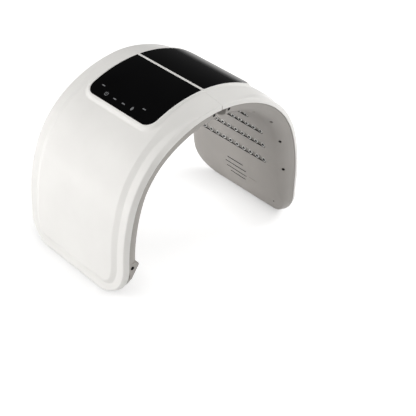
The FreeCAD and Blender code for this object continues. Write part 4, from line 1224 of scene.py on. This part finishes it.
def arc_patch(run, y, start, end, segments=28):
    """Open ring of the power mark."""
    verts, faces = [], []
    for i in range(segments + 1):
        angle = start + (end - start) * i / segments
        for radius in (POWER_OUTER_R, POWER_INNER_R):
            for rise in PRINT_LEVELS:
                verts.append(point_at(run + radius * math.cos(angle),
                                      y + radius * math.sin(angle), rise))
    for i in range(segments):
        a = i * 4
        b = a + 4
        faces += [[a, b, b + 2, a + 2], [a + 1, a + 3, b + 3, b + 1],
                  [a, a + 1, b + 1, b], [a + 2, b + 2, b + 3, a + 3]]
    last = segments * 4
    faces += [[0, 2, 3, 1], [last, last + 1, last + 3, last + 2]]
    return np.array(verts), faces


def icons():
    """Four dashes, a power mark (open ring and bar) and a small oval."""
    dash = stadium(3.4, 0.95, 6)
    bar = [(-0.5, -3.6), (0.5, -3.6), (0.5, 0.2), (-0.5, 0.2)]
    oval = [(2.1 * math.cos(2 * math.pi * i / 24), 3.4 * math.sin(2 * math.pi * i / 24))
            for i in range(24)]
    parts = [flat_patch(dash, run, y) for run, y in DASHES]
    parts.append(arc_patch(*POWER_MARK, math.radians(-145), math.radians(145)))
    parts.append(flat_patch(bar, *POWER_MARK))
    parts.append(flat_patch(oval, *OVAL_MARK))
    return new_object("touch_icons", merge(parts), [PRINT], turned=True, sharp_angle=30.0)


# =====================================================================
# assembly
# =====================================================================
def install(obj, side, piece):
    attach(obj, side + "_half")
    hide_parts(piece)


for side, turned in (("right", False), ("left", True)):
    install(outer_cover(side + "_shell_skin", turned), side, side + "_outer_cover")
    install(panel(side + "_gloss_panel", turned), side,
            "left_control_panel" if turned else "right_panel")
    install(inner_cover(side + "_inner_shell", turned), side, side + "_inner_cover")
    lenses, collars, dies = lamps(side, turned)
    for obj in (lenses, collars, dies):
        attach(obj, side + "_half")
    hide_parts(side + "_leds")
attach(icons(), "left_half")


# =====================================================================
# floor, world, lights, camera (metres)
# =====================================================================
def paper_material():
    """Pale paper that glows for camera rays like a light table, so lamp shadows on it stay
    faint; close under the object its glow is dimmed by ambient occlusion, a painted contact
    shadow.
    """
    glow_strength = 1.64
    occluded_share = 0.6                # share of the glow lost close under the object
    glow_share = 0.45                   # how much of what the camera sees is glow
    material = bpy.data.materials.new("pale_paper")
    material.use_nodes = True
    tree = material.node_tree
    tree.nodes.clear()
    place_on = add_node(tree, "ShaderNodeTexCoord").outputs["Object"]
    grain = add_node(tree, "ShaderNodeTexNoise", {"Scale": 60.0, "Vector": place_on})
    tint = add_node(tree, "ShaderNodeValToRGB", {"Fac": grain.outputs["Fac"]})
    tint.color_ramp.elements[0].color = (0.90, 0.90, 0.90, 1)
    tint.color_ramp.elements[1].color = (0.94, 0.94, 0.94, 1)
    paper = add_node(tree, "ShaderNodeBsdfDiffuse", {"Color": tint.outputs["Color"]})
    # painted contact shadow: ambient occlusion dims the glow close to the object
    shadow = add_node(tree, "ShaderNodeAmbientOcclusion", {"Distance": 0.07}, samples=8)
    glow = add_node(tree, "ShaderNodeMath", {
        0: shadow.outputs["AO"], 1: glow_strength * occluded_share,
        2: glow_strength * 0.4}, operation="MULTIPLY_ADD")
    light = add_node(tree, "ShaderNodeEmission", {"Strength": glow.outputs[0]})
    camera_ray = add_node(tree, "ShaderNodeLightPath").outputs["Is Camera Ray"]
    share = add_node(tree, "ShaderNodeMath", {0: camera_ray, 1: glow_share},
                     operation="MULTIPLY")
    both = add_node(tree, "ShaderNodeMixShader", {
        "Fac": share.outputs[0], 1: paper.outputs[0], 2: light.outputs[0]})
    add_node(tree, "ShaderNodeOutputMaterial", {"Surface": both.outputs[0]})
    return material


def make_floor():
    cells, reach, z = 24, 6.0, -0.0001
    ticks = [reach * (2 * i / cells - 1) for i in range(cells + 1)]
    ids = grid_ids(cells + 1, cells + 1)
    faces = [[ids[i][j], ids[i + 1][j], ids[i + 1][j + 1], ids[i][j + 1]]
             for i in range(cells) for j in range(cells)]
    mesh = bpy.data.meshes.new("floor")
    mesh.from_pydata([(x, y, z) for x in ticks for y in ticks], [], faces)
    obj = bpy.data.objects.new("floor", mesh)
    scene.collection.objects.link(obj)
    mesh.materials.append(paper_material())


def make_world():
    """White to the camera, a dim warm fill, and a dark ceiling for glossy surfaces."""
    world = bpy.data.worlds.new("studio")
    scene.world = world
    world.use_nodes = True
    tree = world.node_tree
    tree.nodes.clear()

    def background(color, strength):
        inputs = {"Color": color, "Strength": strength}
        return add_node(tree, "ShaderNodeBackground", inputs).outputs[0]

    def choose(ray, otherwise, chosen):
        inputs = {"Fac": rays[ray], 1: otherwise, 2: chosen}
        return add_node(tree, "ShaderNodeMixShader", inputs).outputs[0]

    rays = add_node(tree, "ShaderNodeLightPath").outputs
    backdrop = background(color=(1, 1, 1, 1), strength=1.05)
    fill = background(color=(1.0, 0.995, 0.985, 1), strength=0.22)
    ceiling = background(color=(1, 1, 1, 1), strength=0.10)
    unseen = choose("Is Glossy Ray", fill, ceiling)
    seen = choose("Is Camera Ray", unseen, backdrop)
    add_node(tree, "ShaderNodeOutputWorld", {"Surface": seen})


def disk_light(name, location, size, power, color=(1, 1, 1), mirrored=True):
    """Disk aimed at the object's centre; mirrored says if glossy surfaces show it."""
    data = bpy.data.lights.new(name, "AREA")
    data.shape = "DISK"
    data.size = size
    data.energy = power
    data.color = color
    obj = bpy.data.objects.new(name, data)
    obj.location = location
    obj.rotation_mode = "QUATERNION"
    aim = (CAD_LO + CAD_HI) / 2 - Vector(location)
    obj.rotation_quaternion = aim.to_track_quat("-Z", "Y")
    scene.collection.objects.link(obj)
    obj.visible_glossy = mirrored


def make_camera():
    data = bpy.data.cameras.new("camera")
    data.sensor_width = 36.0
    data.lens = 87.854
    data.clip_start, data.clip_end = 0.05, 60.0
    obj = bpy.data.objects.new("camera", data)
    scene.collection.objects.link(obj)
    right = Vector((0.729178, -0.683018, 0.042175))
    up = Vector((0.372379, 0.447744, 0.812930))
    back = Vector((-0.574132, -0.577065, 0.580837))
    turn = Matrix((right, up, back)).transposed()
    location = Vector((-0.93405, -1.03781, 1.03529))
    obj.matrix_world = Matrix.Translation(location) @ turn.to_4x4()
    scene.camera = obj


make_floor()
make_world()
disk_light("key", (-1.87, 1.42, 0.83), size=1.5, power=44.5, color=(1.0, 0.996, 0.99),
           mirrored=False)
disk_light("front_top", (-0.25, -1.85, 1.95), size=1.5, power=22.5, color=(1.0, 0.99, 0.97))
disk_light("right", (2.2, -0.3, 1.35), size=1.4, power=42.0, mirrored=False)
make_camera()

scene.view_settings.view_transform = "Standard"
scene.view_settings.look = "None"
scene.view_settings.exposure = 0.0
scene.view_settings.gamma = 1.0
